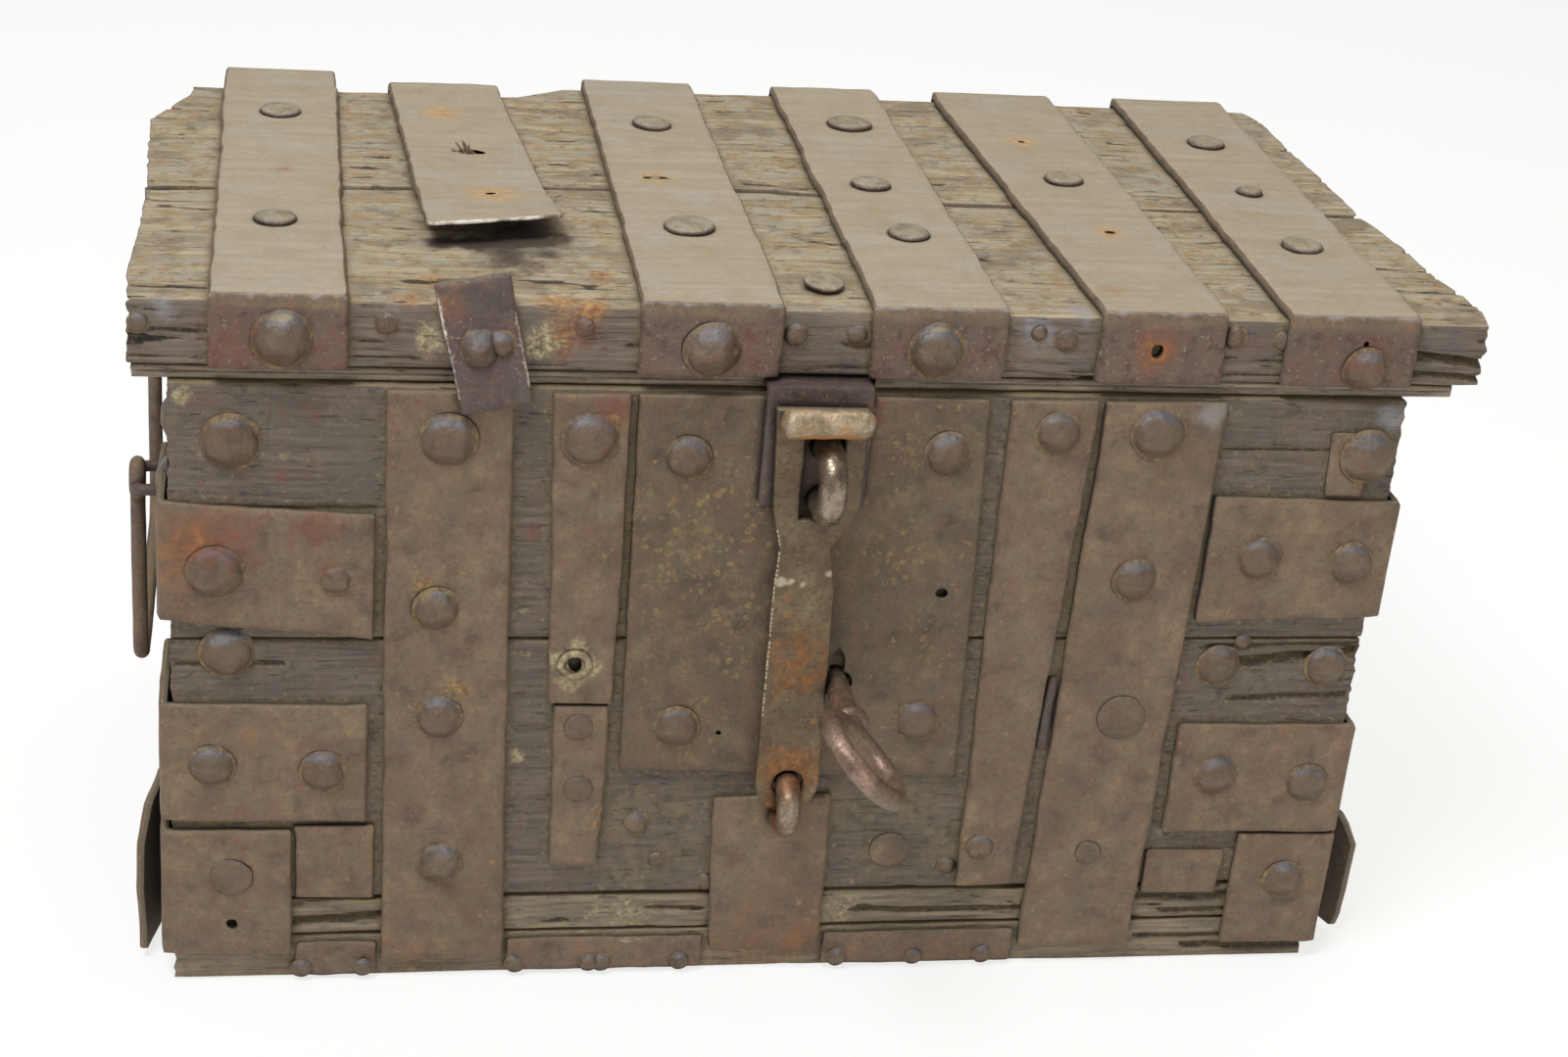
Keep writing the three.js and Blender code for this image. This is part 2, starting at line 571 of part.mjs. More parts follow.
// Corner plates bent round the front corners: shares of the front for the near edge and the corner edge
const cornerPlateShares = {
  corner_plate_left_1: { side: -1, edge: 0.1625, near: [0.6, 0.8015], corner: [0.631, 0.8195] },
  corner_plate_left_2: { side: -1, edge: 0.1595, near: [0.287, 0.489], corner: [0.292, 0.4905] },
  corner_plate_left_3: { side: -1, edge: 0.0995, near: [0.0495, 0.272], corner: [0.054, 0.275], short: true },
  corner_plate_right_1: { side: 1, edge: 0.8435, near: [0.632, 0.8445], corner: [0.638, 0.836] },
  corner_plate_right_2: { side: 1, edge: 0.8455, near: [0.25, 0.4465], corner: [0.246, 0.444] },
  corner_plate_right_3: {
    side: 1, edge: 0.9165, near: [0.036, 0.2455], corner: [0.0325, 0.2425], short: true,
  },
};
const longReturn = -(handle.half + handle.pinHalf + handle.pin + cornerReturn.handleClear);
const shortReturn = front + cornerReturn.short;
const cornerMarkShares = {
  corner_plate_left_1: [[0.0385, 0.711, 'large'], [0.1305, 0.7, 'small']],
  corner_plate_left_2: [[0.034, 0.39, 'medium'], [0.1225, 0.378, 'medium']],
  corner_plate_left_3: [[0.049, 0.194, 'medium', 'flat'], [0.05, 0.109, 'tiny', 'hole']],
  corner_plate_right_1: [[0.8905, 0.7425, 'medium'], [0.9715, 0.735, 'medium']],
  corner_plate_right_2: [[0.8855, 0.359, 'medium'], [0.9695, 0.34, 'medium']],
  corner_plate_right_3: [[0.9645, 0.159, 'medium']],
};

function cornerPlates() {
  Object.entries(cornerPlateShares).forEach(([name, place]) => {
    const face = place.side * (right + fit.gap);
    const row = (x, y, [low, high], out) =>
      ({ a: [x, y, onFrontZ(low)], b: [x, y, onFrontZ(high)], out });
    const turn = face - place.side * iron.bend;
    const mitre = iron.strap * iron.bendShare;
    const plate = bentSheet([
      row(onFrontX(place.edge), ironBack, place.near, [0, -iron.strap, 0]),
      row(turn, ironBack, place.corner, [0, -iron.strap, 0]),
      row(face, ironBack, place.corner, [place.side * mitre, -mitre, 0]),
      row(face, ironBack + iron.bend, place.corner, [place.side * iron.strap, 0, 0]),
      row(face, place.short ? shortReturn : longReturn, place.corner, [place.side * iron.strap, 0, 0]),
    ]);
    const marks = cornerMarkShares[name].map(([x, z, size, kind]) =>
      [onFrontX(x), onFrontZ(z), nail[size] * (kind === 'hole' ? holeShare : 1), kind]);
    piece(name, dressFront(plate, marks), strapIron);
  });
}

// Nailed strips along the base board's front edge, between the straps' feet
const baseStripShares = {
  base_strip_1: { span: [0.1025, 0.17], nails: [0.107, 0.1585] },
  base_strip_2: { span: [0.28, 0.449], nails: [0.2875, 0.351, 0.362, 0.4295] },
  base_strip_3: { span: [0.5555, 0.7255], nails: [0.5685, 0.637, 0.6995] },
};
const baseStrip = { bottomShare: 0.04, topShare: 0.9, nailShare: 0.24 };

function baseStrips() {
  Object.entries(baseStripShares).forEach(([name, { span, nails }]) => {
    const [low, high] = [baseStrip.bottomShare, baseStrip.topShare].map((share) => share * body.base);
    const face = ironBack - iron.thin;
    const strip = block([onFrontX(span[0]), face, low], [onFrontX(span[1]), ironBack, high]);
    const marks = nails.map((x) => [onFrontX(x), low + baseStrip.nailShare * body.base, nail.tiny]);
    piece(name, dressFront(strip, marks, face), rustIron);
  });
}

// Side plates low on the ends, splayed away from the wood at the foot
const sidePlateShares = {
  side_plate_left: {
    side: -1, depth: [0.055, 0.21], height: [0.014, 0.13, 0.21, 0.285], spread: [0.038, 0.042, 0.039, 0.026],
  },
  side_plate_right: {
    side: 1, depth: [0.055, 0.2], height: [0.016, 0.04, 0.175, 0.215, 0.243],
    spread: [0.063, 0.07, 0.075, 0.056, 0.037],
  },
};

function sidePlates() {
  Object.entries(sidePlateShares).forEach(([name, { side, depth, height, spread }]) => {
    const [near, far] = depth.map(onLidY);
    const face = side * (right + fit.gap);
    const rows = height.map((share, i) => {
      const sprung = face + side * spread[i] * body.height;
      const z = onFrontZ(share);
      return { a: [sprung, near, z], b: [face, far, z], out: [side * iron.strap, 0, 0] };
    });
    piece(name, bentSheet(rows), strapIron);
  });
}

// Lower staple, with the hasp's eye threaded on it
function lowerStaple() {
  const x = hasp.centre;
  const root = front + stapleLow.bite;
  const loop = bentBar([
    line([x, root, lowerLegs[0]], [x, haspPlane, lowerLegs[0]]),
    new Arc([x, haspPlane, lowerStapleZ], [0, 0, stapleLow.arc], [0, -stapleLow.arc, 0], Math.PI),
    line([x, haspPlane, lowerLegs[1]], [x, root, lowerLegs[1]]),
  ], stapleLow.rod, facets.bendSteps);
  piece('lower_staple', loop, wornSteel);
}

// Hasp: eye at the foot, slot over the upper staple, and the top end turned out into a thumb bar
function haspPlate() {
  const { centre: x, eye, shank, waist, wide, thickness, skew, neck } = hasp;
  const top = body.height - hasp.topDrop;
  const slotBottom = stapleTopZ - hasp.slotBelow;
  const shoulder = slotBottom - hasp.shoulder;
  const flare = slotBottom + hasp.flare;
  const outline = [];
  for (let step = 0; step <= facets.rodSides; step += 1) {
    const angle = Math.PI + (step / facets.rodSides) * Math.PI;
    outline.push([x + Math.cos(angle) * eye, eyeZ + Math.sin(angle) * eye]);
  }
  outline.push(
    [x + shank, shoulder - hasp.taper],
    [x + waist - skew, shoulder],
    [x + wide, flare],
    [x + wide, top],
    [x - wide, top],
    [x - wide + skew, flare],
    [x - waist - skew, shoulder],
    [x - shank - skew, shoulder - hasp.taper],
  );
  const plate = uprightPlate(outline, haspFace, haspBack);
  const slot = block(
    [x + hasp.slotShift - hasp.slotHalf, haspFace - fit.overrun, slotBottom],
    [x + hasp.slotShift + hasp.slotHalf, haspBack + fit.overrun, stapleTopZ + hasp.slotAbove],
  );
  const hole = bar('y', [x, eyeZ], hasp.bore, haspFace - fit.overrun, haspBack + fit.overrun);
  const barY = haspPlane - hasp.barOut;
  const turned = block(
    [x - hasp.neckHalf, barY, top - neck],
    [x + hasp.neckHalf, haspPlane - thickness / 4, top - fit.gap],
  );
  const thumb = bar('x', [barY, top - neck / 2], hasp.bar, x - hasp.barLength / 2, x + hasp.barLength / 2);
  piece('hasp', fuse([cut(plate, [slot, hole]), turned, thumb]), wornSteel);
}

// Hinges: leaves down the back of the body, and their pins
const backLeafShares = { foot: 0.04, nails: [0.86, 0.5, 0.16] };

function hinges() {
  const hinged = Object.values(lidStrapShares).filter((place) => place.hinged);
  hinged.forEach((place, i) => {
    const span = place.back.map(onLidX);
    const [low, high] = span;
    const spans = knuckleSpans(span);
    const top = hingeZ - hinge.knuckle - hinge.relief;
    const [near, far] = [back + fit.gap, back + fit.gap + iron.strap];
    const leaf = block([low, near, onFrontZ(backLeafShares.foot)], [high, far, top]);
    const tabs = spans.inner.map((part) => knuckleTab(part, false));
    const heads = backLeafShares.nails.map((z) =>
      nailHead([(low + high) / 2, far, onFrontZ(z)], 'back', nail.medium));
    const solid = cut(fuse([leaf, ...tabs, ...heads]), [pinHole(span)]);
    piece(`back_strap_${i + 1}`, solid, strapIron);

    const shaft = bar('x', [hingeY, hingeZ], hinge.pin, low - fit.gap - hinge.headLength / 2, high + fit.gap);
    const head = bar('x', [hingeY, hingeZ], hinge.head, low - fit.gap - hinge.headLength, low - fit.gap);
    const clinch = bar('x', [hingeY, hingeZ], hinge.head, high + fit.gap, high + fit.gap + hinge.headLength);
    piece(`hinge_pin_${i + 1}`, fuse([shaft, head, clinch]), darkIron);
  });
}

// End handles: a bail with an eye on each leg, on staples driven into the end boards
const handleX = (side) => side * (right + handle.pivotOut);
const handleEnds = { front: -1, back: 1 };

function handleHoles(side) {
  return Object.values(handleEnds).flatMap((end) => [-1, 1].map((leg) => {
    const centre = [end * handle.half + leg * handle.pinHalf, pivotZ];
    const mouth = side * (right + fit.overrun);
    const blind = side * (right - handle.bite - fit.gap);
    const [low, high] = [Math.min(mouth, blind), Math.max(mouth, blind)];
    return bar('x', centre, handle.pin + fit.bore, low, high, facets.rodSides);
  }));
}

function endHandles() {
  [-1, 1].forEach((side) => {
    const word = side < 0 ? 'left' : 'right';
    const x = handleX(side);
    const { half, drop, rod, eye, bend, pin, pinHalf, pinBend, bite } = handle;
    const z = pivotZ;
    const root = side * (right - bite);
    const shoulder = x - side * pinBend;
    const quarter = Math.PI / 2;
    Object.entries(handleEnds).forEach(([end, way]) => {
      const [near, far] = [way * half - pinHalf, way * half + pinHalf];
      const staple = bentBar([
        line([root, near, z], [shoulder, near, z]),
        new Arc([shoulder, near + pinBend, z], [0, -pinBend, 0], [side * pinBend, 0, 0], quarter),
        line([x, near + pinBend, z], [x, far - pinBend, z]),
        new Arc([shoulder, far - pinBend, z], [side * pinBend, 0, 0], [0, pinBend, 0], quarter),
        line([shoulder, far, z], [root, far, z]),
      ], pin, facets.bendSteps, facets.slimSides);
      piece(`${word}_handle_staple_${end}`, staple, darkIron);
    });
    const top = z - eye;
    const low = z - drop;
    const bail = bentBar([
      line([x, -half, top], [x, -half, low + bend]),
      new Arc([x, -half + bend, low + bend], [0, -bend, 0], [0, 0, -bend], quarter),
      line([x, -half + bend, low], [x, half - bend, low]),
      new Arc([x, half - bend, low + bend], [0, 0, -bend], [0, bend, 0], quarter),
      line([x, half, low + bend], [x, half, top]),
    ], rod, facets.ringSteps, facets.slimSides);
    const eyes = Object.values(handleEnds).map((way) => {
      const ring = new THREE.TorusGeometry(eye, rod, facets.slimSides, facets.bendSteps);
      ring.rotateX(Math.PI / 2).translate(x, way * half, z);
      return toSolid(ring);
    });
    piece(`${word}_handle`, fuse([bail, ...eyes]), rustIron);
  });
}

// Lock: a case on the back of the front board, a sliding bolt and the key
function lockCasing() {
  const { margin, below, topDrop, depth, wall } = lockCase;
  const [a, b] = [boltArmLeft - margin, boltFootRight + bolt.travel + margin];
  const [bottom, top] = [keyZ - below, body.height - topDrop];
  const near = innerFace + fit.gap;
  const far = near + depth;
  const shell = block([a, near, bottom], [b, far, top]);
  const hollow = block(
    [a + wall, near - fit.overrun, bottom + wall],
    [b - wall, far - wall, top + fit.overrun],
  );
  const footLow = keyZ + bolt.foot;
  const footHigh = footLow + bolt.footHeight;
  const railNear = boltFace + bolt.railGap;
  const lowRail = block(
    [a + wall / 2, railNear, footLow - bolt.railGap - bolt.rail],
    [key.x - key.bit - bolt.notchLead / 2, far - wall / 2, footLow - bolt.railGap],
  );
  const highRail = block(
    [boltArmLeft + bolt.armWidth + bolt.travel + fit.gap * 2, railNear, footHigh + bolt.railGap],
    [b - wall / 2, far - wall / 2, footHigh + bolt.railGap + bolt.rail],
  );
  piece('lock_case', fuse([cut(shell, [hollow]), lowRail, highRail]), darkIron);
}

function lockBolt() {
  const { armWidth, thickness, footHeight, finger, reach } = bolt;
  const foot = keyZ + bolt.foot;
  const armRight = boltArmLeft + armWidth;
  const notchLeft = key.x - bolt.notchLead - bolt.notch / 2;
  const notchRight = notchLeft + bolt.notch;
  const notchTop = foot + bolt.notchDepth;
  const outline = [
    [boltArmLeft, foot], [notchLeft, foot], [notchLeft, notchTop], [notchRight, notchTop], [notchRight, foot],
    [boltFootRight, foot], [boltFootRight, foot + footHeight], [armRight, foot + footHeight],
    [armRight, boltTop - finger], [armRight + reach, boltTop - finger], [armRight + reach, boltTop],
    [boltArmLeft, boltTop],
  ];
  piece('lock_bolt', uprightPlate(outline, boltFace, boltFace + thickness), wornSteel);
}

function lockKey() {
  const { x, shank, collar, collarOut, collarLength, bow, bowRod, bowOut, bit, bitWidth, bitOver, tip } = key;
  const z = keyZ;
  const bowAt = ironFace - bowOut;
  const [bitNear, bitFar] = [boltFace - bitOver, boltFace + bolt.thickness + bitOver];
  const stem = bar('y', [x, z], shank, bowAt + bow, bitFar + tip);
  const band = bar('y', [x, z], collar, ironFace - collarOut - collarLength, ironFace - collarOut);
  const leanAngle = THREE.MathUtils.degToRad(key.leanDegrees);
  const lean = new THREE.Matrix4().makeRotationY(-leanAngle).setPosition(x, 0, z);
  const ring = new THREE.TorusGeometry(bow, bowRod, facets.rodSides, facets.ringSteps);
  ring.translate(0, bowAt, 0).applyMatrix4(lean);
  const blade = new THREE.BoxGeometry(bit, bitFar - bitNear, bitWidth);
  blade.translate(bit / 2, (bitNear + bitFar) / 2, 0).applyMatrix4(lean);
  piece('key', fuse([stem, band, toSolid(ring), toSolid(blade)]), wornSteel);
}

lidPlanks();
liningBoards();
Object.entries(lidStrapShares).forEach(([name, place]) => lidStrap(name, place));
brokenStrapPieces();
lidTongue();
upperStaple();
lockCatch();
bodyBoards();
frontIrons();
cornerPlates();
baseStrips();
sidePlates();
lowerStaple();
haspPlate();
hinges();
endHandles();
lockCasing();
lockBolt();
lockKey();

export default chest;
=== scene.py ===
# An old iron-bound strongbox on a white table: weathered planks, nailed straps, hasp, lock and key.
import math

import bmesh
import bpy
import numpy as np
from mathutils import Matrix, Vector


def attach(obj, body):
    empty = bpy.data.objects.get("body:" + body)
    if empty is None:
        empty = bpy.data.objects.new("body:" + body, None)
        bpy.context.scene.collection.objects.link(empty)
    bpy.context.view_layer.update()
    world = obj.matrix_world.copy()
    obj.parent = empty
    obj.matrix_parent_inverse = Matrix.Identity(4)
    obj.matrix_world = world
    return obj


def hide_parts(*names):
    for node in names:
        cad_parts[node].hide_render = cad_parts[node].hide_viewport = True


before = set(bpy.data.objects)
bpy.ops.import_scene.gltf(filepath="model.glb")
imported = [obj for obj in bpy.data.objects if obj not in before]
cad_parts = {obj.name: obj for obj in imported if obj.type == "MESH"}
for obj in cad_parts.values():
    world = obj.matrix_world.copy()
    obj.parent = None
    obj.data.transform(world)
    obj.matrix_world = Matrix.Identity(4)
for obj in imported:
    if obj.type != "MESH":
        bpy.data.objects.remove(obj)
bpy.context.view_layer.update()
print("frame loaded:", len(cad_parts), "nodes")

# Places are in millimetres, as on the drawing; meshes are scaled to metres at the end
mm = 0.001
box = {"left": -196, "right": 196, "front": -111, "back": 111, "top": 214}
lidBox = {"left": -208.5, "right": 221.5, "under": 219.0, "top": 241.0}
iron = {"gap": 0.3, "strap": 2.7, "thin": 1.6, "bend": 1.4, "mitre": 2.1}
nailSizes = {"large": 8.3, "medium": 6.9, "small": 4.6, "tiny": 3.2}
ironBack = box["front"] - iron["gap"]
ironFace = ironBack - iron["strap"]
strapUnder = lidBox["top"] + iron["gap"]
strapTop = strapUnder + iron["strap"]
forward, backward, upward = (0, -1, 0), (0, 1, 0), (0, 0, 1)
fullTurn = 2 * math.pi


def onLidX(share):
    return lidBox["left"] + share * (lidBox["right"] - lidBox["left"])


def onLidY(share):
    return box["front"] + share * (box["back"] - box["front"])


def onFrontX(share):
    return box["left"] + share * (box["right"] - box["left"])


def onFrontZ(share):
    return share * box["top"]


# Lumpy noise from -1 to 1; size is the width of a lump in mm, one number or one for each axis
def lattice(cell, seed):
    mixed = cell[..., 0] * 374761393 + cell[..., 1] * 668265263 + cell[..., 2] * 1440662683 + seed * 69069
    mixed = mixed & 0xFFFFFFFF
    mixed = ((mixed ^ (mixed >> 13)) * 1274126177) & 0xFFFFFFFF
    return ((mixed ^ (mixed >> 16)) & 0xFFFFFF) / 0x7FFFFF - 1


def noise(points, size, seed=0, octaves=1):
    points = np.asarray(points, float)
    total, reach = np.zeros(points.shape[:-1]), 0
    for octave in range(octaves):
        place = points / (np.asarray(size, float) / 2 ** octave) + 57.3 * (octave + 1)
        cell = np.floor(place).astype(np.int64)
        part = place - cell
        part = part * part * (3 - 2 * part)
        value = 0
        for corner in np.ndindex(2, 2, 2):
            weight = np.prod(np.where(corner, part, 1 - part), axis=-1)
            value = value + weight * lattice(cell + np.array(corner), seed + octave)
        total += value * 0.5 ** octave
        reach += 0.5 ** octave
    return total / reach


def ease(value, low, high):
    share = np.clip((value - low) / (high - low), 0, 1)
    return share * share * (3 - 2 * share)


# Stains by place, in mm: where each one is centred, how far it reaches and how strong it is
stains = {
    "rust": [
        (-106.9, 64.8, 244, 7, 0.7), (-95.2, -26.2, 246, 9, 0.7), (102.5, 53.8, 244, 6, 0.8),
        (110.1, -41.5, 244, 6, 0.8),
        (107.7, -114, 231, 15, 0.9), (176, -114, 234, 12, 0.5), (-161, -0.8, 244, 8, 0.85),
        (-124, -106, 241, 11, 0.9), (-80, -106, 241, 13, 1.0), (-78, -111, 231, 12, 0.9),
        (-119, -111, 226, 12, 0.5), (-190, -114, 160, 26, 0.8), (-176, -114, 170, 14, 0.6),
        (-186, -114, 150, 16, 0.55), (-150, -114, 167, 17, 0.5), (-146, -114, 153, 9, 0.7),
        (2, -121, 124, 26, 0.55), (2, -121, 82, 18, 0.8), (2, -121, 68, 14, 0.9), (5, -114, 62, 14, 0.6),
        (12, -115, 12, 22, 0.7), (0, -113, 5, 60, 0.6), (-62, -114, 206, 12, 0.45), (-120, -113, 3, 50, 0.5),
        (-69, -114, 120, 5, 1.3), (-119, -92, 241, 9, 1.1), (-64, -84, 241, 10, 1.0),
        (-112, -108, 241, 12, 1.1), (-70, -109, 240, 12, 1.1), (96, -96, 241, 12, 0.8),
        (24, -104, 241, 10, 0.6), (-205, -90, 241, 12, 0.7), (-170, -114, 92, 24, 0.45),
        (176, -114, 96, 24, 0.5), (176, -114, 44, 16, 0.45), (120, -114, 215, 10, 0.4),
        (64, -113, 5, 30, 0.4), (-60, -114, 96, 14, 0.3), (12, -129, 178, 7, 0.8),
    ],
    "paint": [
        (-176, -111, 228, 24, 0.75), (-168, -111, 236, 12, 0.6), (-72, -112, 232, 14, 0.8),
        (-78, -112, 226, 10, 0.8), (-150, -114, 229, 26, 0.5), (60, -114, 229, 18, 0.5),
        (30, -111, 231, 10, 0.5), (-130, -111, 205, 24, 0.5), (141, -111, 231, 16, 0.6),
        (160, -111, 224, 14, 0.5), (-62, -114, 209, 13, 0.9), (20, -117, 208, 12, 0.8),
        (100, -114, 70, 14, 0.3), (190, -114, 88, 16, 0.4), (-100, -114, 60, 12, 0.3),
        (-25, -114, 229, 22, 0.6), (176, -114, 229, 24, 0.6), (107, -114, 224, 20, 0.4),
        (-176, -114, 60, 22, 0.45), (-160, -114, 80, 22, 0.3), (-180, -114, 163, 26, 0.85),
        (-150, -114, 168, 18, 0.7), (-186, -114, 148, 16, 0.6), (-186, -111, 208, 14, 0.7),
        (-152, -111, 206, 14, 0.6), (-160, -111, 184, 16, 0.45), (-56, -114, 170, 12, 0.5),
        (-84, -111, 165, 8, 0.7), (180, -114, 160, 18, 0.4), (-170, -111, 205, 20, 0.45),
    ],
    "pale": [
        (-117, -111, 230, 11, 1.0), (-85, -111, 229, 12, 1.0), (-118, -105, 241, 8, 0.5),
        (-80, -98, 241, 12, 0.6), (-74, -115, 121, 7, 1.3), (-69, -115, 126, 7, 1.2),
        (-64, -115, 119, 7, 1.2), (-70, -115, 114, 7, 1.2), (-86, -111, 84, 5, 1.0), (-84, -111, 122, 4, 0.8),
        (-86, -111, 138, 4, 0.7), (-6.4, -121, 153, 4, 1.2), (-3, -121, 153.4, 3.4, 1.0),
        (1, -121, 152.6, 3.2, 0.8), (9, -121, 156, 3.4, 1.1), (-191, -111, 210, 6, 1.3),
        (-160, -111, 190, 3, 0.9), (25, -111, 22, 30, 0.5), (-50, -111, 22, 34, 0.55),
        (92, -111, 24, 10, 0.7), (5, -84, 241, 16, 0.4), (-118, -114, 142, 7, 0.8), (30, -50, 241, 20, 0.3),
        (-92, -111, 165, 12, 0.4), (44, -114, 158, 4, 0.6), (130, -111, 214, 9, 0.5),
    ],
    "soot": [
        # The first nine darken the wood round the torn end of the second lid strap: painted shadow under its
        # lifted end, and dark stain before it
        (-112, -58, 241, 9, 1.7), (-102, -58, 241, 10, 1.9), (-92, -57, 241, 10, 1.9),
        (-82, -55, 241, 10, 1.8), (-74, -52, 241, 8, 1.5),
        (-92, -68, 241, 20, 1.1), (-80, -66, 241, 12, 1.0), (-90, -84, 241, 18, 0.6),
        (-88, -50, 241, 26, 1.2), (107, -111, 180, 20, 0.3), (-70, -111, 222, 14, 0.4),
        (6, -110, 222, 20, 0.4), (96, -111, 60, 24, 0.7), (-25, -114, 176, 20, 0.55),
        (-20, -114, 140, 18, 0.5), (-22, -114, 112, 18, 0.5), (-16, -114, 196, 16, 0.5),
        (24, -114, 120, 20, 0.4), (60, -60, 241, 18, 0.5), (68, -80, 241, 14, 0.5),
        (-148, -104, 241, 16, 0.4), (150, -111, 200, 26, 0.35), (176, -111, 196, 22, 0.35),
        (150, -111, 122, 20, 0.3), (-180, -111, 122, 20, 0.3),
    ],
    "haze": [
        (84, -105, 243, 13, 1.0), (70, -111, 236, 13, 0.9), (127.7, -114, 209, 14, 0.9),
        (190.6, -111, 208, 14, 0.9), (-196, -111, 236, 16, 0.7), (-130, -111, 237, 14, 0.7),
        (-20, -111, 237, 14, 0.5), (150, -111, 234, 10, 0.6),
    ],
    "halo": [],
    "crust": [
        (-118, -114, 146, 10, 1.0), (-104, -114, 148, 7, 0.6), (-106, -114, 111, 9, 1.0),
        (-118, -114, 104, 8, 0.7), (-62, -114, 206, 10, 0.6), (-36, -114, 200, 8, 0.5),
        (-30, -114, 104, 8, 0.6), (-183, -114, 158, 10, 0.8), (-52, -111, 62, 18, 1.0),
        (-34, -111, 64, 16, 1.0), (-46, -111, 42, 18, 0.9), (-26, -111, 46, 14, 0.8), (30, -111, 62, 18, 1.0),
        (48, -111, 66, 18, 1.0), (60, -111, 50, 18, 0.9), (36, -111, 44, 16, 0.9), (50, -114, 98, 10, 0.6),
        (110, -114, 152, 8, 0.4), (-176, -114, 90, 8, 0.4), (-152, -114, 88, 8, 0.4),
    ],
    "pitted": [
        (-34, -114, 164, 22, 1.0), (-22, -114, 146, 20, 1.0), (-44, -114, 150, 16, 0.8),
        (-30, -114, 184, 14, 0.8), (-48, -114, 120, 14, 0.5), (-20, -114, 122, 12, 0.6),
        (32, -114, 160, 16, 0.6), (44, -114, 128, 14, 0.45), (-12, -114, 170, 14, 0.7),
        (30, -114, 196, 14, 0.45), (-52, -114, 176, 12, 0.5), (-30, -114, 98, 20, 0.45),
    ],
}


def stainShare(points, kind):
    share = np.zeros(len(points))
    for x, y, z, reach, strength in stains[kind]:
        distance = np.linalg.norm(points - np.array([x, y, z]), axis=1)
        share = np.maximum(share, strength * np.clip(1 - distance / reach, 0, 1))
    return share


# Shares from 0 to 1 that the finishes read: where a point lies and which way its surface faces
def layOf(spots, facing):
    up, ahead, height = facing[:, 2], -spots[:, 1], spots[:, 2]
    front, under, top = -box["front"], lidBox["under"], lidBox["top"]
    onLid = ease(height, top - 9, top - 3)
    onEdge = ease(height, under - 3, under) * (1 - ease(height, top - 2, top + 1))
    return {
        "dust": ease(up, 0.55, 0.95) * onLid,
        "ledge": ease(up, 0.5, 0.9) * (1 - onLid),
        # upper: the side facing up, where nail heads and the hasp get a painted highlight
        "upper": ease(up, 0.05, 0.75),
        # bend: the lid's top front edge, where iron gets a painted grey highlight and wood its pale broken
        # fibres
        "bend": ease(ahead, front - 2.5, front + 1.5) * ease(height, top - 2.5, top + 1),
        "lidFace": ease(ahead, front - 2, front) * onEdge,
        "under": ease(-up, -0.1, 0.6),
    }


# Marks that come with a part's own shape: rims, where iron takes worn pale grit and, on the side walls of its
# sheets, painted shade, and cracks
shapeMarks = ("edge", "crack")


def markOf(part, mark):
    return part.get(mark, np.zeros(len(part["points"])))


def writeMark(mesh, mark, shares):
    mesh.attributes.new(mark, "FLOAT", "POINT").data.foreach_set("value", np.asarray(shares, np.float32))


def newObject(name, data):
    made = bpy.data.objects.new(name, data)
    bpy.context.scene.collection.objects.link(made)
    return made


# Turns parts of points, faces, finish and marks into one mesh that rides on a body
def addPiece(name, parts, body, finishes, replaced=(), bores=(), sharp=55, clear=()):
    if bores:
        parts = [bored(parts[0], bores)] + list(parts[1:])
    points = np.concatenate([part["points"] for part in parts])
    faces, kinds, offset = [], [], 0
    for part in parts:
        faces += [[offset + i for i in face] for face in part["faces"]]
        kinds += [part.get("finish", 0)] * len(part["faces"])
        offset += len(part["points"])
    mesh = bpy.data.meshes.new(name)
    mesh.from_pydata((points * mm).tolist(), [], faces)
    mesh.polygons.foreach_set("material_index", kinds)
    for mark in shapeMarks:
        writeMark(mesh, mark, np.concatenate([markOf(part, mark) for part in parts]))
    for finish in finishes:
        mesh.materials.append(finish)
    tidy = bmesh.new()
    tidy.from_mesh(mesh)
    bmesh.ops.recalc_face_normals(tidy, faces=tidy.faces)
    tidy.to_mesh(mesh)
    tidy.free()
    piece = newObject(name, mesh)
    spots, facing = np.zeros(len(mesh.vertices) * 3), np.zeros(len(mesh.vertices) * 3)
    mesh.vertices.foreach_get("co", spots)
    mesh.vertex_normals.foreach_get("vector", facing)
    spots, facing = spots.reshape(-1, 3) / mm, facing.reshape(-1, 3)
    marks = {kind: stainShare(spots, kind) for kind in stains if kind not in clear}
    marks.update(layOf(spots, facing))
    for mark, shares in marks.items():
        writeMark(mesh, mark, shares)
    mesh.shade_smooth()
    mesh.set_sharp_from_angle(angle=math.radians(sharp))
    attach(piece, body)
    if replaced:
        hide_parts(*replaced)


# Quads between two rings of points, given the index of the first point of each
def band(first, second, sides):
    return [[first + k, first + (k + 1) % sides, second + (k + 1) % sides, second + k] for k in range(sides)]


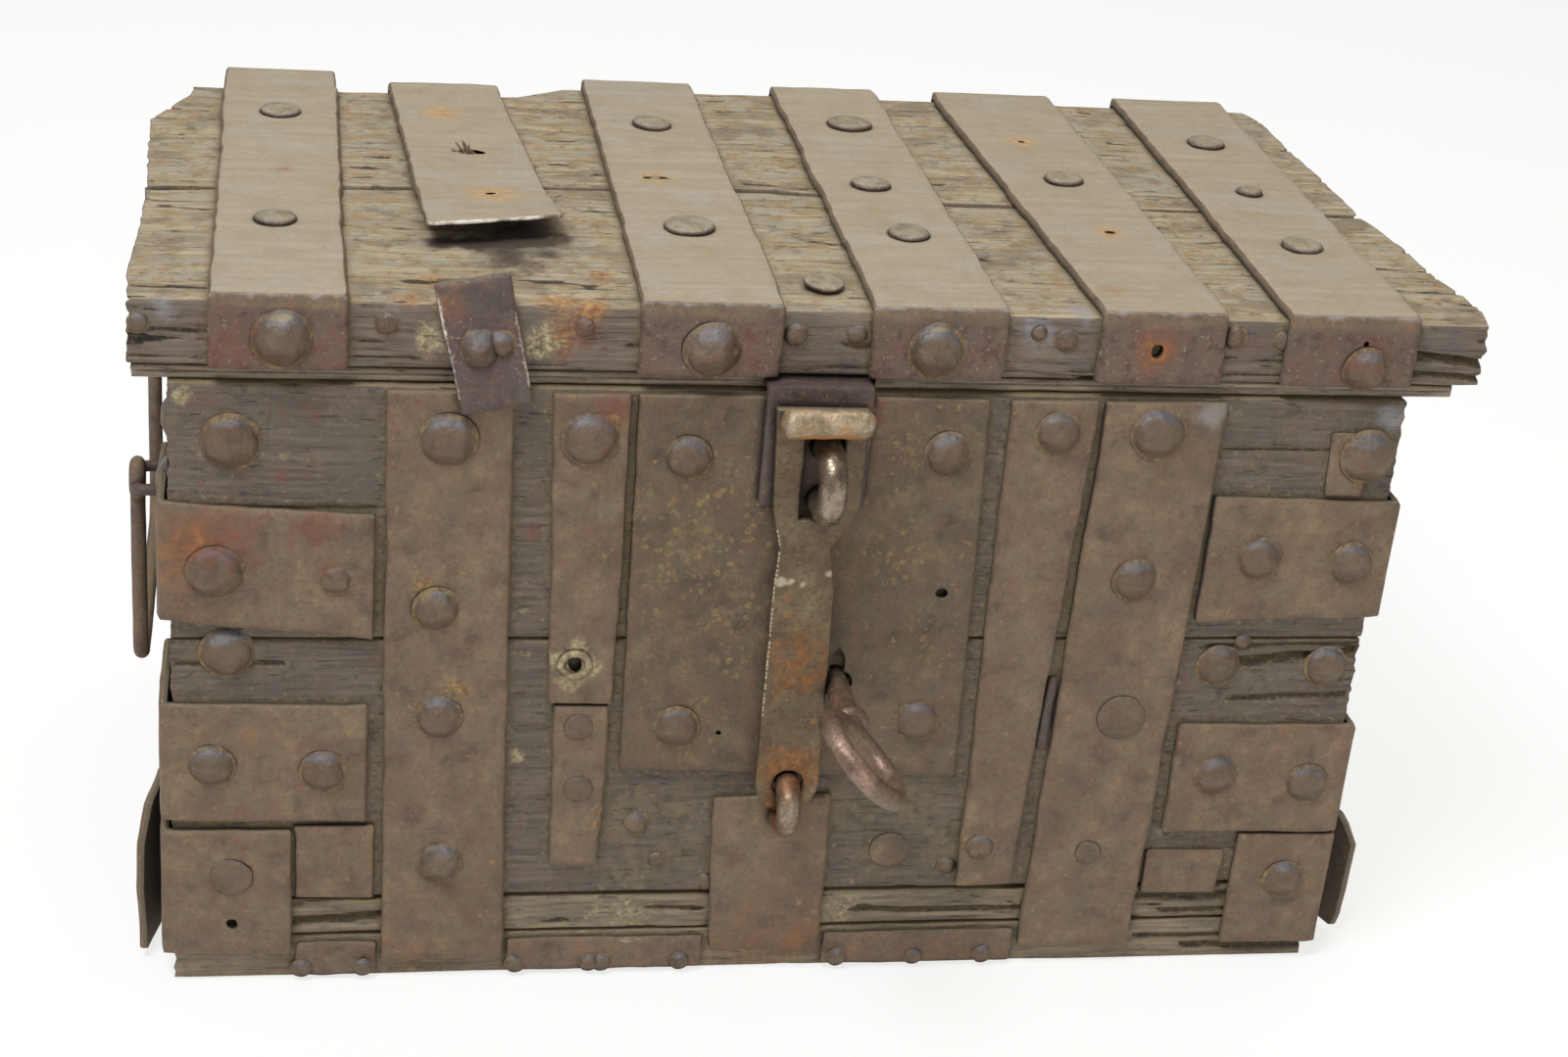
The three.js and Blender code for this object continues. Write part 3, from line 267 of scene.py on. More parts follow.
# A part with ragged round or oblong holes: cutters are (centre, direction, half width, half height, depth)
def bored(part, cutters, sides=14):
    mesh = bpy.data.meshes.new("blank")
    mesh.from_pydata((part["points"] * mm).tolist(), [], part["faces"])
    for mark in shapeMarks:
        writeMark(mesh, mark, markOf(part, mark))
    blank = newObject("blank", mesh)
    tools = []
    for centre, direction, halfWidth, halfHeight, depth in cutters:
        turn = Vector(direction).to_track_quat("Z", "X").to_matrix()
        rings = []
        for level in (-depth, depth):
            for side in range(sides):
                angle = side / sides * 2 * math.pi
                ragged = 1 + 0.12 * math.sin(side * 7.3 + centre[0])
                flat = Vector((math.cos(angle) * halfWidth * ragged, math.sin(angle) * halfHeight * ragged,
                               level))
                rings.append((Vector(centre) + turn @ flat) * mm)
        drill = bpy.data.meshes.new("drill")
        caps = [list(range(sides))[::-1], list(range(sides, 2 * sides))]
        drill.from_pydata(rings, [], band(0, sides, sides) + caps)
        tool = newObject("drill", drill)
        cut = blank.modifiers.new("cut", "BOOLEAN")
        cut.object, cut.operation, cut.solver = tool, "DIFFERENCE", "EXACT"
        tools.append(tool)
    mesh = blank.evaluated_get(bpy.context.evaluated_depsgraph_get()).to_mesh()
    made = {"points": np.array([vertex.co for vertex in mesh.vertices]) / mm,
            "faces": [list(polygon.vertices) for polygon in mesh.polygons], "finish": part.get("finish", 0)}
    for mark in shapeMarks:
        made[mark] = np.array([entry.value for entry in mesh.attributes[mark].data])
    for spare in [blank, *tools]:
        bpy.data.objects.remove(spare)
    return made


# Places along a length: close together at both ends, so that an edge can be rounded
def places(length, step, close=(0.35, 1.0)):
    near = [0.0, *close]
    if length < 4 * close[-1]:
        return np.linspace(0, length, 5)
    middle = np.linspace(near[-1], length - near[-1], max(2, math.ceil((length - 2 * near[-1]) / step) + 1))
    return np.array(near[:-1] + list(middle) + [length - d for d in near[-2::-1]])


# A forged sheet: rows are (edge point, edge point, way out to the face), as they lie along its length. In mm,
# wobble waves its long edges, torn bites into its two ends, dents bruise its face and round softens its
# corners
def sheet(rows, step=2.2, wobble=0.5, torn=(0.5, 0.5), dents=0.22, round=1.0, seed=0):
    a, b, out = (np.array([row[i] for row in rows], float) for i in range(3))
    middle = (a + b) / 2
    run = np.concatenate([[0], np.cumsum(np.linalg.norm(np.diff(middle, axis=0), axis=1))])
    length, width = run[-1], np.mean(np.linalg.norm(b - a, axis=1))
    along = np.unique(np.concatenate([places(length, step), run]).round(3))
    keep = np.concatenate([[True], np.diff(along) > 0.12])
    along = along[keep]
    across = places(width, step) / width
    lay = [np.stack([np.interp(along, run, part[:, axis]) for axis in range(3)], -1) for part in (a, b, out)]
    grid = lay[0][:, None] + (lay[1] - lay[0])[:, None] * across[None, :, None]
    side = (lay[1] - lay[0]) / width
    ahead = np.gradient((lay[0] + lay[1]) / 2, axis=0)
    ahead /= np.linalg.norm(ahead, axis=1, keepdims=True)
    left = (noise(grid[:, 0], 24, seed, 2) + 0.6 * noise(grid[:, 0], 7, seed + 21, 2)) * wobble
    right = (noise(grid[:, -1], 24, seed + 5, 2) + 0.6 * noise(grid[:, -1], 7, seed + 22, 2)) * wobble
    shift = left[:, None] * (1 - across) ** 2 + right[:, None] * across ** 2
    grid += side[:, None] * shift[..., None]
    fromSide = np.minimum(across, 1 - across) * width
    soft = round * (1 - np.clip(fromSide / round, 0, 1)) ** 2 * 0.5
    for end, amount in ((0, torn[0]), (1, torn[1])):
        distance = along if end == 0 else length - along
        sign = 1 if end == 0 else -1
        bite = (noise(grid[-end], 9, seed + 9, 3) * 0.5 + 0.5) * amount + soft
        grid += sign * ahead[:, None] * (bite[None] * np.exp(-distance / 3.0)[:, None])[..., None]
    fromEdge = np.minimum(fromSide[None], np.minimum(along, length - along)[:, None])
    thick = 1 - 0.45 * np.clip(1 - fromEdge / 0.9, 0, 1) ** 2
    flat = grid.reshape(-1, 3)
    bump = (noise(flat, 13, seed + 3, 2) * dents
            + noise(flat, 5, seed + 4) * dents * 0.4).reshape(fromEdge.shape)
    depth = np.linalg.norm(lay[2], axis=1)
    outer = grid + lay[2][:, None] * (thick + bump / depth[:, None])[..., None]
    rowsCount, columns = grid.shape[:2]
    index = np.arange(rowsCount * columns).reshape(rowsCount, columns)
    faces = []
    for i in range(rowsCount - 1):
        for j in range(columns - 1):
            faces.append([index[i, j], index[i, j + 1], index[i + 1, j + 1], index[i + 1, j]])
    under = {}
    points = list(outer.reshape(-1, 3))
    marks = list(np.clip(1 - fromEdge.reshape(-1) / 2.4, 0, 1))
    border = [(0, j) for j in range(columns)] + [(i, columns - 1) for i in range(1, rowsCount)]
    border += ([(rowsCount - 1, j) for j in range(columns - 2, -1, -1)]
               + [(i, 0) for i in range(rowsCount - 2, 0, -1)])
    for i, j in border:
        under[(i, j)] = len(points)
        points.append(grid[i, j])
        marks.append(2.6)
    for (i, j), (k, m) in zip(border, border[1:] + border[:1]):
        faces.append([index[i, j], under[(i, j)], under[(k, m)], index[k, m]])
    last = columns - 1
    faces.append([under[(0, j)] for j in range(columns)] + [under[(1, last)], under[(1, 0)]])
    for i in range(1, rowsCount - 2):
        faces.append([under[(i, 0)], under[(i, last)], under[(i + 1, last)], under[(i + 1, 0)]])
    end = rowsCount - 1
    faces.append([under[(end - 1, 0)], under[(end - 1, last)]]
                 + [under[(end, j)] for j in range(last, -1, -1)])
    return {"points": np.array(points), "faces": faces, "edge": np.array(marks)}


# A hammered nail head: a dome on a crusty skirt, or a low flat head with a ragged rim
def nailHead(centre, facing, radius, height=None, flat=False, seed=0, finish=1, lift=0.0, blows=12,
             skirt=1.13):
    random = np.random.default_rng(seed + 17)
    height = height or (2.3 if flat else radius * 0.52)
    sides = 30 if radius > 4 else 18
    if flat:
        profile = [(0.0, -0.5), (0.97, -0.5), (1.0, 0.2), (0.99, 0.42), (0.92, 0.64), (0.7, 0.86),
                   (0.36, 0.97)]
    else:
        profile = [(0.0, -0.4), (skirt, -0.4), (skirt, 0.02), (1 + (skirt - 1) * 0.45, 0.07)]
        profile += [(math.cos(t) ** 0.85, math.sin(t)) for t in np.linspace(0.16, 1.4, 7)]
    angles = np.arange(sides) / sides * 2 * math.pi
    outline = 1 + 0.06 * noise(np.stack([np.cos(angles), np.sin(angles), angles * 0], -1) * 10, 9, seed, 2)
    points = [[0, 0, profile[0][1] * min(height, 1.0)]]
    for r, h in profile[1:]:
        low = h * min(height, 1.0) if h < 0 else h * height
        points += [[radius * r * outline[i] * math.cos(t), radius * r * outline[i] * math.sin(t), low]
                   for i, t in enumerate(angles)]
    points.append([0, 0, height])
    points = np.array(points)
    scale = np.array([radius, radius, height])
    if not flat:
        for _ in range(blows):
            turn, steep = random.uniform(0, 2 * math.pi), random.uniform(0.4, 1.25)
            way = np.array([math.cos(turn) * math.cos(steep), math.sin(turn) * math.cos(steep),
                            math.sin(steep)])
            reach = points / scale @ way
            over = np.clip(reach - random.uniform(0.88, 0.96), 0, None) * (points[:, 2] > height * 0.2)
            points -= over[:, None] * way * scale
    crust = 0.12 + 0.16 * (np.hypot(points[:, 0], points[:, 1]) > radius * 0.98)
    points += (noise(points + seed * 31, 3.2, seed, 2) * crust)[:, None] * (points[:, 2:3] > 0)
    leans = [Matrix.Rotation(math.radians(random.uniform(-3, 3)), 3, axis) for axis in ("X", "Y")]
    turn = np.array(Vector(facing).to_track_quat("Z", "Y").to_matrix() @ (leans[0] @ leans[1]))
    centre = np.array(centre, float) + np.array(facing, float) * lift
    faces = [[0, 1 + (i + 1) % sides, 1 + i] for i in range(sides)]
    levels = len(profile) - 1
    for level in range(levels - 1):
        faces += band(1 + level * sides, 1 + (level + 1) * sides, sides)
    top = 1 + (levels - 1) * sides
    faces += [[top + i, top + (i + 1) % sides, len(points) - 1] for i in range(sides)]
    edge = np.clip(points[:, 2] / height, 0, 1) ** 2
    rim = ease(np.hypot(points[:, 0], points[:, 1]) / radius, 0.86, 0.99)
    return {"points": points @ turn.T + centre, "faces": faces, "finish": finish, "edge": edge, "crack": rim}


# A bar of round section along a path; closed for a ring
def rod(path, radius, sides=16, closed=False, finish=0, seed=0, dents=0.1):
    path = np.array(path, float)
    count = len(path)
    if closed:
        ahead = np.roll(path, -1, 0) - np.roll(path, 1, 0)
    else:
        ahead = np.gradient(path, axis=0)
    ahead /= np.linalg.norm(ahead, axis=1, keepdims=True)
    radii = np.broadcast_to(radius, (count,))
    guide = np.array([0.0, 0.0, 1.0]) if abs(ahead[0][2]) < 0.9 else np.array([1.0, 0.0, 0.0])
    points = []
    for i in range(count):
        side = np.cross(ahead[i], guide)
        side /= np.linalg.norm(side)
        guide = np.cross(side, ahead[i])
        for k in range(sides):
            angle = k / sides * 2 * math.pi
            points.append(path[i] + radii[i] * (math.cos(angle) * side + math.sin(angle) * guide))
    points = np.array(points)
    faces = []
    for i in range(count if closed else count - 1):
        faces += band(i * sides, (i + 1) % count * sides, sides)
    if not closed:
        faces += [list(range(sides))[::-1], list(range((count - 1) * sides, count * sides))]
    points += noise(points, 7, seed, 2)[:, None] * dents
    return {"points": points, "faces": faces, "finish": finish}


# Points from the centre plus one arm round to the centre plus the other, and on as far as turn says
def arc(centre, startArm, endArm, turn=math.pi, steps=14):
    angles = np.linspace(0, turn, steps)
    centre, startArm, endArm = (np.array(v, float) for v in (centre, startArm, endArm))
    return [centre + startArm * math.cos(t) + endArm * math.sin(t) for t in angles]


# A sawn plank with worn corners, checks along its grain and ragged ends. Across the grain u runs over its
# width or depth and v over its height; splits are (face, line along the grain, half width, depth)
def plank(low, high, grain="x", spacing=2.6, fine=1.0, coarse=6.0, fineSides=("-u",), corner=1.6, relief=0.5,
          checks=0.9, starts=None, ends=None, nearSide=None, farSide=None, splits=(), ragged=1.0, seed=0):
    order = (0, 1, 2) if grain == "x" else (1, 0, 2)
    (g0, u0, v0), (g1, u1, v1) = ([point[i] for i in order] for point in (low, high))

    def side(start, stop, name):
        length = abs(stop - start)
        steps = places(length, fine if name in fineSides else coarse, (0.5, 1.2))[:-1]
        return start + steps * (1 if stop > start else -1)

    ring = [(u, v0) for u in side(u0, u1, "-v")] + [(u1, v) for v in side(v0, v1, "+u")]
    ring += [(u, v1) for u in side(u1, u0, "+v")] + [(u0, v) for v in side(v1, v0, "-u")]
    ring = np.array(ring)
    stations = places(g1 - g0, spacing, (0.6, 1.6)) / (g1 - g0)
    start = np.full(len(ring), float(g0)) if starts is None else np.interp(ring[:, 0], *np.array(starts).T)
    stop = np.full(len(ring), float(g1)) if ends is None else np.interp(ring[:, 0], *np.array(ends).T)
    tip = np.stack([ring[:, 0] * 0 + seed, ring[:, 0], ring[:, 1]], -1)
    start = start + (noise(tip, (9, 12, 2.6), seed + 1, 3) * 0.5 + 0.5) * ragged
    stop = stop - (noise(tip + 40, (9, 12, 2.6), seed + 2, 3) * 0.5 + 0.5) * ragged
    g = start[None] + (stop - start)[None] * stations[:, None]
    u = np.broadcast_to(ring[:, 0], g.shape).copy()
    v = np.broadcast_to(ring[:, 1], g.shape).copy()

    def edgeLine(line, plain):
        if line is None:
            return plain
        return np.interp(g, *np.array(line).T) + noise(g[..., None] * [1, 0, 0], 9, seed + 7, 3)

    lower, upper = edgeLine(nearSide, u0), edgeLine(farSide, u1)
    u = lower + (u - u0) * (upper - lower) / (u1 - u0)
    radius = corner * (1 + 0.6 * noise(np.stack([g, u * 0, v * 0], -1), 24, seed + 3, 2))
    inU, inV = np.clip(u, lower + radius, upper - radius), np.clip(v, v0 + radius, v1 - radius)
    du, dv = u - inU, v - inV
    reach = np.maximum(np.hypot(du, dv), 1e-6)
    round = (np.abs(du) > 1e-4) & (np.abs(dv) > 1e-4)
    u = np.where(round, inU + du / reach * radius, u)
    v = np.where(round, inV + dv / reach * radius, v)
    nu, nv = du / reach, dv / reach
    place = np.stack([g, u, v], -1)
    lumps = noise(place, (60, 13, 13), seed + 4, 2) * 0.5 + 0.5
    lines = noise(place, (26, 2.6, 2.6), seed + 5, 3) * 0.5 + 0.5
    checked = noise(place, (13, 2.2, 2.2), seed + 6, 2) + 0.4 * noise(place, (50, 20, 20), seed + 12)
    check = ease(checked, 0.42, 0.68) * checks
    split = np.zeros_like(g)
    facings = {"-u": -nu, "+u": nu, "-v": -nv, "+v": nv}
    for name, line, width, depth in splits:
        line = np.array(line, float)
        at = np.interp(g, line[:, 0], line[:, 1]) + noise(place * [1, 0, 0], 11, seed + 8, 2) * width * 0.8
        across = v if name in ("-u", "+u") else u
        window = ease(g, line[0, 0] - 2, line[0, 0] + 3) * (1 - ease(g, line[-1, 0] - 3, line[-1, 0] + 2))
        cleft = depth * window * np.exp(-((across - at) / width) ** 2) * ease(facings[name], 0.5, 0.8)
        split = np.maximum(split, cleft)
    sink = relief * (0.6 * lumps + 0.55 * lines) + np.maximum(check, split)
    u, v = u - nu * sink, v - nv * sink
    place = np.stack([g, u, v], -1)
    crack = np.clip(np.maximum(check, split) / 0.8 + 0.25 * lines, 0, 1.3)
    rings, sides = g.shape
    points = list(place.reshape(-1, 3))
    marks = list(crack.reshape(-1))
    faces = []
    for i in range(rings - 1):
        faces += band(i * sides, (i + 1) * sides, sides)
    for end, inward in ((0, 1), (rings - 1, -1)):
        edgeRing = place[end]
        centre = edgeRing.mean(0)
        previous = end * sides
        for shrink in (0.9, 0.68, 0.42, 0.16):
            spot = edgeRing.copy()
            spot[:, 1:] = centre[1:] + (edgeRing[:, 1:] - centre[1:]) * shrink
            grainEnd = noise(spot * [0, 1, 1] + end, (9, 16, 1.7), seed + 11, 2) * 0.5 + 0.5
            spot[:, 0] += inward * grainEnd * ragged * 1.1
            faces += band(previous, len(points), sides)
            previous = len(points)
            points += list(spot)
            marks += list(np.clip(0.25 + grainEnd, 0, 1))
        points.append(centre + np.array([inward * ragged * 0.5, 0, 0]))
        marks.append(0.5)
        faces += [[previous + k, previous + (k + 1) % sides, len(points) - 1] for k in range(sides)]
    points = np.array(points)[:, list(order)]
    return {"points": points, "faces": faces, "crack": np.array(marks)}


# A CAD node's own shape, remeshed fine and smoothed, as if the forging had worn
def worn(node, voxel=0.6, smoothing=4, warp=0.25, seed=0):
    copy = newObject("worn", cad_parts[node].data.copy())
    modifier = copy.modifiers.new("even", "REMESH")
    modifier.mode = "VOXEL"
    modifier.voxel_size = voxel * mm
    smooth = copy.modifiers.new("smooth", "SMOOTH")
    smooth.factor = 0.5
    smooth.iterations = smoothing
    mesh = copy.evaluated_get(bpy.context.evaluated_depsgraph_get()).to_mesh()
    points = np.array([vertex.co for vertex in mesh.vertices]) / mm
    faces = [list(polygon.vertices) for polygon in mesh.polygons]
    facing = np.array([vertex.normal for vertex in mesh.vertices])
    bpy.data.objects.remove(copy)
    points += facing * (noise(points, 9, seed, 2) * warp)[:, None]
    return {"points": points, "faces": faces}


# sRGB hex to the linear colour that a shader takes
def linear(code):
    parts = [int(code[i:i + 2], 16) / 255 for i in (1, 3, 5)]
    return [part / 12.92 if part <= 0.04045 else ((part + 0.055) / 1.055) ** 2.4 for part in parts] + [1.0]


# Adds one shader node with its settings and the sockets that feed it
def addNode(tree, kind, settings=None, links=None):
    node = tree.nodes.new(kind)
    for name, value in (settings or {}).items():
        if name == "stops":
            ramp = node.color_ramp
            while len(ramp.elements) < len(value):
                ramp.elements.new(0.5)
            for element, (place, code) in zip(ramp.elements, value):
                element.position = place
                element.color = linear(code)
        elif isinstance(name, int) or name in node.inputs:
            node.inputs[name].default_value = value
        else:
            setattr(node, name, value)
    for name, source in (links or {}).items():
        tree.links.new(source, node.inputs[name])
    return node


# An empty node tree for a material or the world
def emptyTree(owner):
    owner.use_nodes = True
    owner.node_tree.nodes.clear()
    return owner.node_tree


# A weathered surface: patterns with real sizes in mm, a tone, and layers that lie over it where marks and
# patterns say. A layer is (mark, pattern, spread, low, high, strength, colour or (pattern, stops), roughness)
# How near other surfaces must come, in mm, for the ambient occlusion that paints shade into the colours
shadeReach = 4.0


def surface(name, look):
    material = bpy.data.materials.new(name)
    tree = emptyTree(material)
    place = addNode(tree, "ShaderNodeTexCoord")
    millimetres = addNode(tree, "ShaderNodeVectorMath", {"operation": "SCALE", "Scale": 1000.0},
                          {0: place.outputs["Object"]})
    patterns = {}
    for key, (kind, size, detail, sharpen) in look["patterns"].items():
        shrunk = addNode(tree, "ShaderNodeVectorMath", {"operation": "MULTIPLY", 1: [1 / s for s in size]},
                         {0: millimetres.outputs[0]})
        if kind == "cells":
            warp = addNode(tree, "ShaderNodeTexNoise", {"Scale": 2.2, "Detail": 2.0},
                           {"Vector": shrunk.outputs[0]})
            bent = addNode(tree, "ShaderNodeVectorMath", {"operation": "MULTIPLY_ADD", 1: [0.7] * 3},
                           {0: warp.outputs["Color"], 2: shrunk.outputs[0]})
            made = addNode(tree, "ShaderNodeTexVoronoi", {"Scale": 1.0, "Randomness": 1.0},
                           {"Vector": bent.outputs[0]})
        else:
            made = addNode(tree, "ShaderNodeTexNoise",
                           {"Scale": 1.0, "Detail": detail, "Roughness": 0.62, "Distortion": 0.25},
                           {"Vector": shrunk.outputs[0]})
        patterns[key] = made.outputs[0]
        if sharpen:
            low, high = sharpen
            patterns[key] = addNode(tree, "ShaderNodeMapRange",
                                    {"interpolation_type": "SMOOTHSTEP", 1: low, 2: high},
                                    {0: patterns[key]}).outputs[0]
    # Painted shade: one minus ambient occlusion is high in crevices, corners and where parts meet, and
    # darkens colours there
    nearby = addNode(tree, "ShaderNodeAmbientOcclusion", {"samples": 5, "Distance": shadeReach * mm})
    crevice = addNode(tree, "ShaderNodeMath", {"operation": "SUBTRACT", 0: 1.0},
                      {1: nearby.outputs["AO"]}).outputs[0]
    tone, roughness = patterns[look["tone"]], look["roughness"]
    colour = addNode(tree, "ShaderNodeValToRGB", {"stops": look["stops"]}, {0: tone}).outputs[0]
    gloss = addNode(tree, "ShaderNodeMapRange", {1: 0.3, 2: 0.7, 3: roughness[0], 4: roughness[1]},
                    {0: tone}).outputs[0]
    for mark, pattern, spread, low, high, strength, paint, dull in look["layers"]:
        share = addNode(tree, "ShaderNodeMath", {"operation": "MULTIPLY_ADD", 1: spread, 2: 0.0},
                        {0: patterns[pattern]})
        if mark == "crevice":
            tree.links.new(crevice, share.inputs[2])
        elif mark:
            source = addNode(tree, "ShaderNodeAttribute", {"attribute_name": mark})
            tree.links.new(source.outputs["Fac"], share.inputs[2])
        mask = addNode(tree, "ShaderNodeMapRange",
                       {"interpolation_type": "SMOOTHSTEP", 1: low, 2: high, 4: strength},
                       {0: share.outputs[0]}).outputs[0]
        mix = addNode(tree, "ShaderNodeMix", {"data_type": "RGBA"}, {0: mask, 6: colour})
        if isinstance(paint, str):
            mix.inputs[7].default_value = linear(paint)
        else:
            ramp = addNode(tree, "ShaderNodeValToRGB", {"stops": paint[1]}, {0: patterns[paint[0]]})
            tree.links.new(ramp.outputs[0], mix.inputs[7])
        colour = mix.outputs[2]
        gloss = addNode(tree, "ShaderNodeMix", {3: dull}, {0: mask, 2: gloss}).outputs[0]
    height = None
    for pattern, amount in look["relief"].items():
        settings = {"operation": "MULTIPLY_ADD", 1: amount, 2: 0.0}
        links = {0: patterns[pattern]} if height is None else {0: patterns[pattern], 2: height}
        height = addNode(tree, "ShaderNodeMath", settings, links).outputs[0]
    bump = addNode(tree, "ShaderNodeBump", {"Strength": 1.0, "Distance": mm}, {"Height": height})
    shader = addNode(tree, "ShaderNodeBsdfPrincipled", {"Metallic": look["metallic"]},
                     {"Base Color": colour, "Roughness": gloss, "Normal": bump.outputs[0]})
    addNode(tree, "ShaderNodeOutputMaterial", {}, {"Surface": shader.outputs[0]})
    return material


# Patterns of old iron, with the width of their lumps in mm. Grains of scale and dust are 0.2 to 0.5 mm in
# real iron, so grit and sand are drawn as coarse as they need to show
ironPatterns = {
    "cloud": ("noise", (30, 30, 30), 5, None),  # broad changes of tone along a strap
    "patch": ("noise", (9, 9, 9), 8, None),
    "mottle": ("noise", (4.6, 4.6, 4.6), 7, None),
    "moss": ("noise", (13, 13, 13), 8, None),  # olive film
    "grit": ("noise", (1.5, 1.5, 1.5), 5, None),
    "sand": ("noise", (1.9, 1.9, 1.9), 3, None),
    "streak": ("noise", (60, 4.5, 60), 6, None),  # dust wiped across the lid
    "flecks": ("noise", (3.4, 3.4, 3.4), 2, None),
    "pits": ("cells", (3.8, 3.8, 3.8), 0, (0.37, 0.27)),  # pits of 1 to 3 mm
    "pitHearts": ("cells", (3.8, 3.8, 3.8), 0, (0.2, 0.12)),
}
dustOnIron = [
    ("dust", "cloud", 0.5, 0.7, 1.15, 0.97,
     ("streak", [(0.3, "#998c75"), (0.5, "#a0937d"), (0.7, "#a79b86")]), 0.75),
    ("dust", "moss", 1.0, 1.44, 1.7, 0.55, "#968568", 0.8),
    ("dust", "cloud", 1.0, 1.5, 1.68, 0.5, "#a09a92", 0.65),
    ("dust", "sand", 1.0, 1.5, 1.78, 0.35, "#83745c", 0.8),
    ("dust", "flecks", 1.0, 1.68, 1.8, 0.45, "#c0b193", 0.8),
]
# Crusts whose grains run from dark to pale
ironCrust = ("sand", [(0.38, "#6b563b"), (0.56, "#987b51"), (0.68, "#b39c6d")])
ironRust = ("mottle", [(0.38, "#774a2d"), (0.52, "#955f37"), (0.66, "#b07c48")])
ironPale = ("sand", [(0.38, "#7f7156"), (0.54, "#a39674"), (0.68, "#c4b894")])
ironHalo = ("sand", [(0.36, "#a08256"), (0.54, "#b3936a"), (0.7, "#c3a67c")])
# Wrought iron, hammered: old brown rust in broad clouds with fine red and tan speckle, pale dust on the lid,
# and painted shade near black in the corners and on the sheets' side walls, a painted grey highlight along
# the lid's front bend and painted glints on bare rims. The rust dulls the metal, so it is only a little
# metallic
strapIron = {
    "patterns": ironPatterns,
    "tone": "patch",
    "stops": [(0.32, "#5b493a"), (0.46, "#74614e"), (0.56, "#7d6953"), (0.7, "#8f785b")],
    "roughness": (0.5, 0.72),
    "metallic": 0.2,
    "layers": [
        (None, "cloud", 1.0, 0.46, 0.64, 0.5, "#6b5744", 0.7),
        (None, "moss", 1.0, 0.5, 0.66, 0.5, "#686150", 0.7),
        (None, "mottle", 1.0, 0.46, 0.68, 0.5, "#7c5848", 0.75),
        (None, "grit", 1.0, 0.46, 0.74, 0.42, "#4a3c30", 0.75),
        (None, "sand", 1.0, 0.56, 0.76, 0.4, "#97805d", 0.8),
        (None, "flecks", 1.0, 0.66, 0.74, 0.6, "#9d7c53", 0.85),
        ("ledge", "patch", 0.8, 0.95, 1.35, 0.7, "#857458", 0.9),
        *dustOnIron,
        ("lidFace", "cloud", 0.4, 0.8, 1.2, 0.5, "#5e4d49", 0.6),
        ("lidFace", "patch", 1.0, 1.46, 1.64, 0.6, "#6c4740", 0.7),
        ("lidFace", "mottle", 1.0, 1.5, 1.66, 0.65, "#443534", 0.55),
        ("lidFace", "grit", 1.0, 1.56, 1.7, 0.6, "#a9937d", 0.45),
        # Painted shade: the sheets' side walls, down toward the wood, are painted near black as the shadow
        # beneath them
        ("edge", "patch", 0.6, 1.3, 1.7, 0.94, "#271e18", 0.9),
        ("paint", "mottle", 1.0, 0.75, 1.45, 0.65, "#793f33", 0.8),
        ("crust", "mottle", 1.3, 1.1, 1.4, 0.8, ironCrust, 0.9),
        ("rust", "patch", 0.9, 0.7, 1.5, 0.85, ironRust, 0.9),
        ("rust", "mottle", 1.2, 1.2, 1.7, 0.8, "#a86a36", 0.9),
        ("pale", "mottle", 1.4, 1.1, 1.4, 0.9, ironPale, 0.9),
        ("soot", "patch", 1.0, 0.8, 1.4, 0.6, "#433539", 0.65),
        # Painted highlight: light grey and glossier along the straps' front bend
        ("bend", "mottle", 1.0, 1.35, 1.65, 0.7, "#9a9897", 0.4),
        ("haze", "patch", 1.2, 1.0, 1.5, 0.55, "#9b9a9a", 0.6),
        ("halo", "mottle", 1.0, 0.8, 1.4, 0.8, ironHalo, 0.85),
        ("edge", "grit", 1.4, 1.6, 1.85, 0.35, "#a89a82", 0.5),
        # Painted shade: near black in crevices and where the iron meets other parts
        ("crevice", "grit", 0.3, 0.32, 0.56, 0.92, "#231b17", 0.9),
        # Near white along torn and rubbed rims: bare metal with a painted glint
        ("bare", "grit", 1.2, 1.0, 1.6, 0.95, "#dcd5ca", 0.4),
    ],
    "relief": {"grit": 0.3, "patch": 0.9, "mottle": 0.6},
}
# The lock plate, wrought iron pitted by rust: darker and greener, with clusters of golden pits that have dark
# middles
lockPlateIron = {
    **strapIron,
    "stops": [(0.32, "#493d31"), (0.46, "#5d503f"), (0.56, "#685944"), (0.7, "#7b6b4f")],
    "layers": [
        *strapIron["layers"],
        ("pitted", "pits", 0.8, 0.7, 1.3, 0.52,
         ("sand", [(0.36, "#7b6242"), (0.56, "#a28556"), (0.7, "#b79d6b")]), 0.9),
        ("pitted", "pitHearts", 0.9, 0.85, 1.4, 0.35, "#5c4833", 0.8),
        ("pitted", "flecks", 1.5, 1.35, 1.6, 0.25, "#96805a", 0.8),
        ("pitted", "mottle", 1.4, 1.35, 1.65, 0.45, "#463a31", 0.8),
    ],
}
# Forge scale, the dark skin of iron as it was forged, on the thin scrap and the tongue: purple-grey with red
# mottles
scaleIron = {
    **strapIron,
    "stops": [(0.3, "#39302c"), (0.5, "#4e423d"), (0.7, "#655850")],
    "layers": [layer for layer in strapIron["layers"] if layer[0] not in ("dust", "ledge", "bend")],
    "roughness": (0.4, 0.62),
}
scaleIron["layers"].insert(2, (None, "patch", 1.0, 0.54, 0.68, 0.4, "#66403a", 0.7))
scaleIron["layers"].insert(5, (None, "cloud", 0.5, 0.0, 0.5, 0.45, "#4c4547", 0.5))
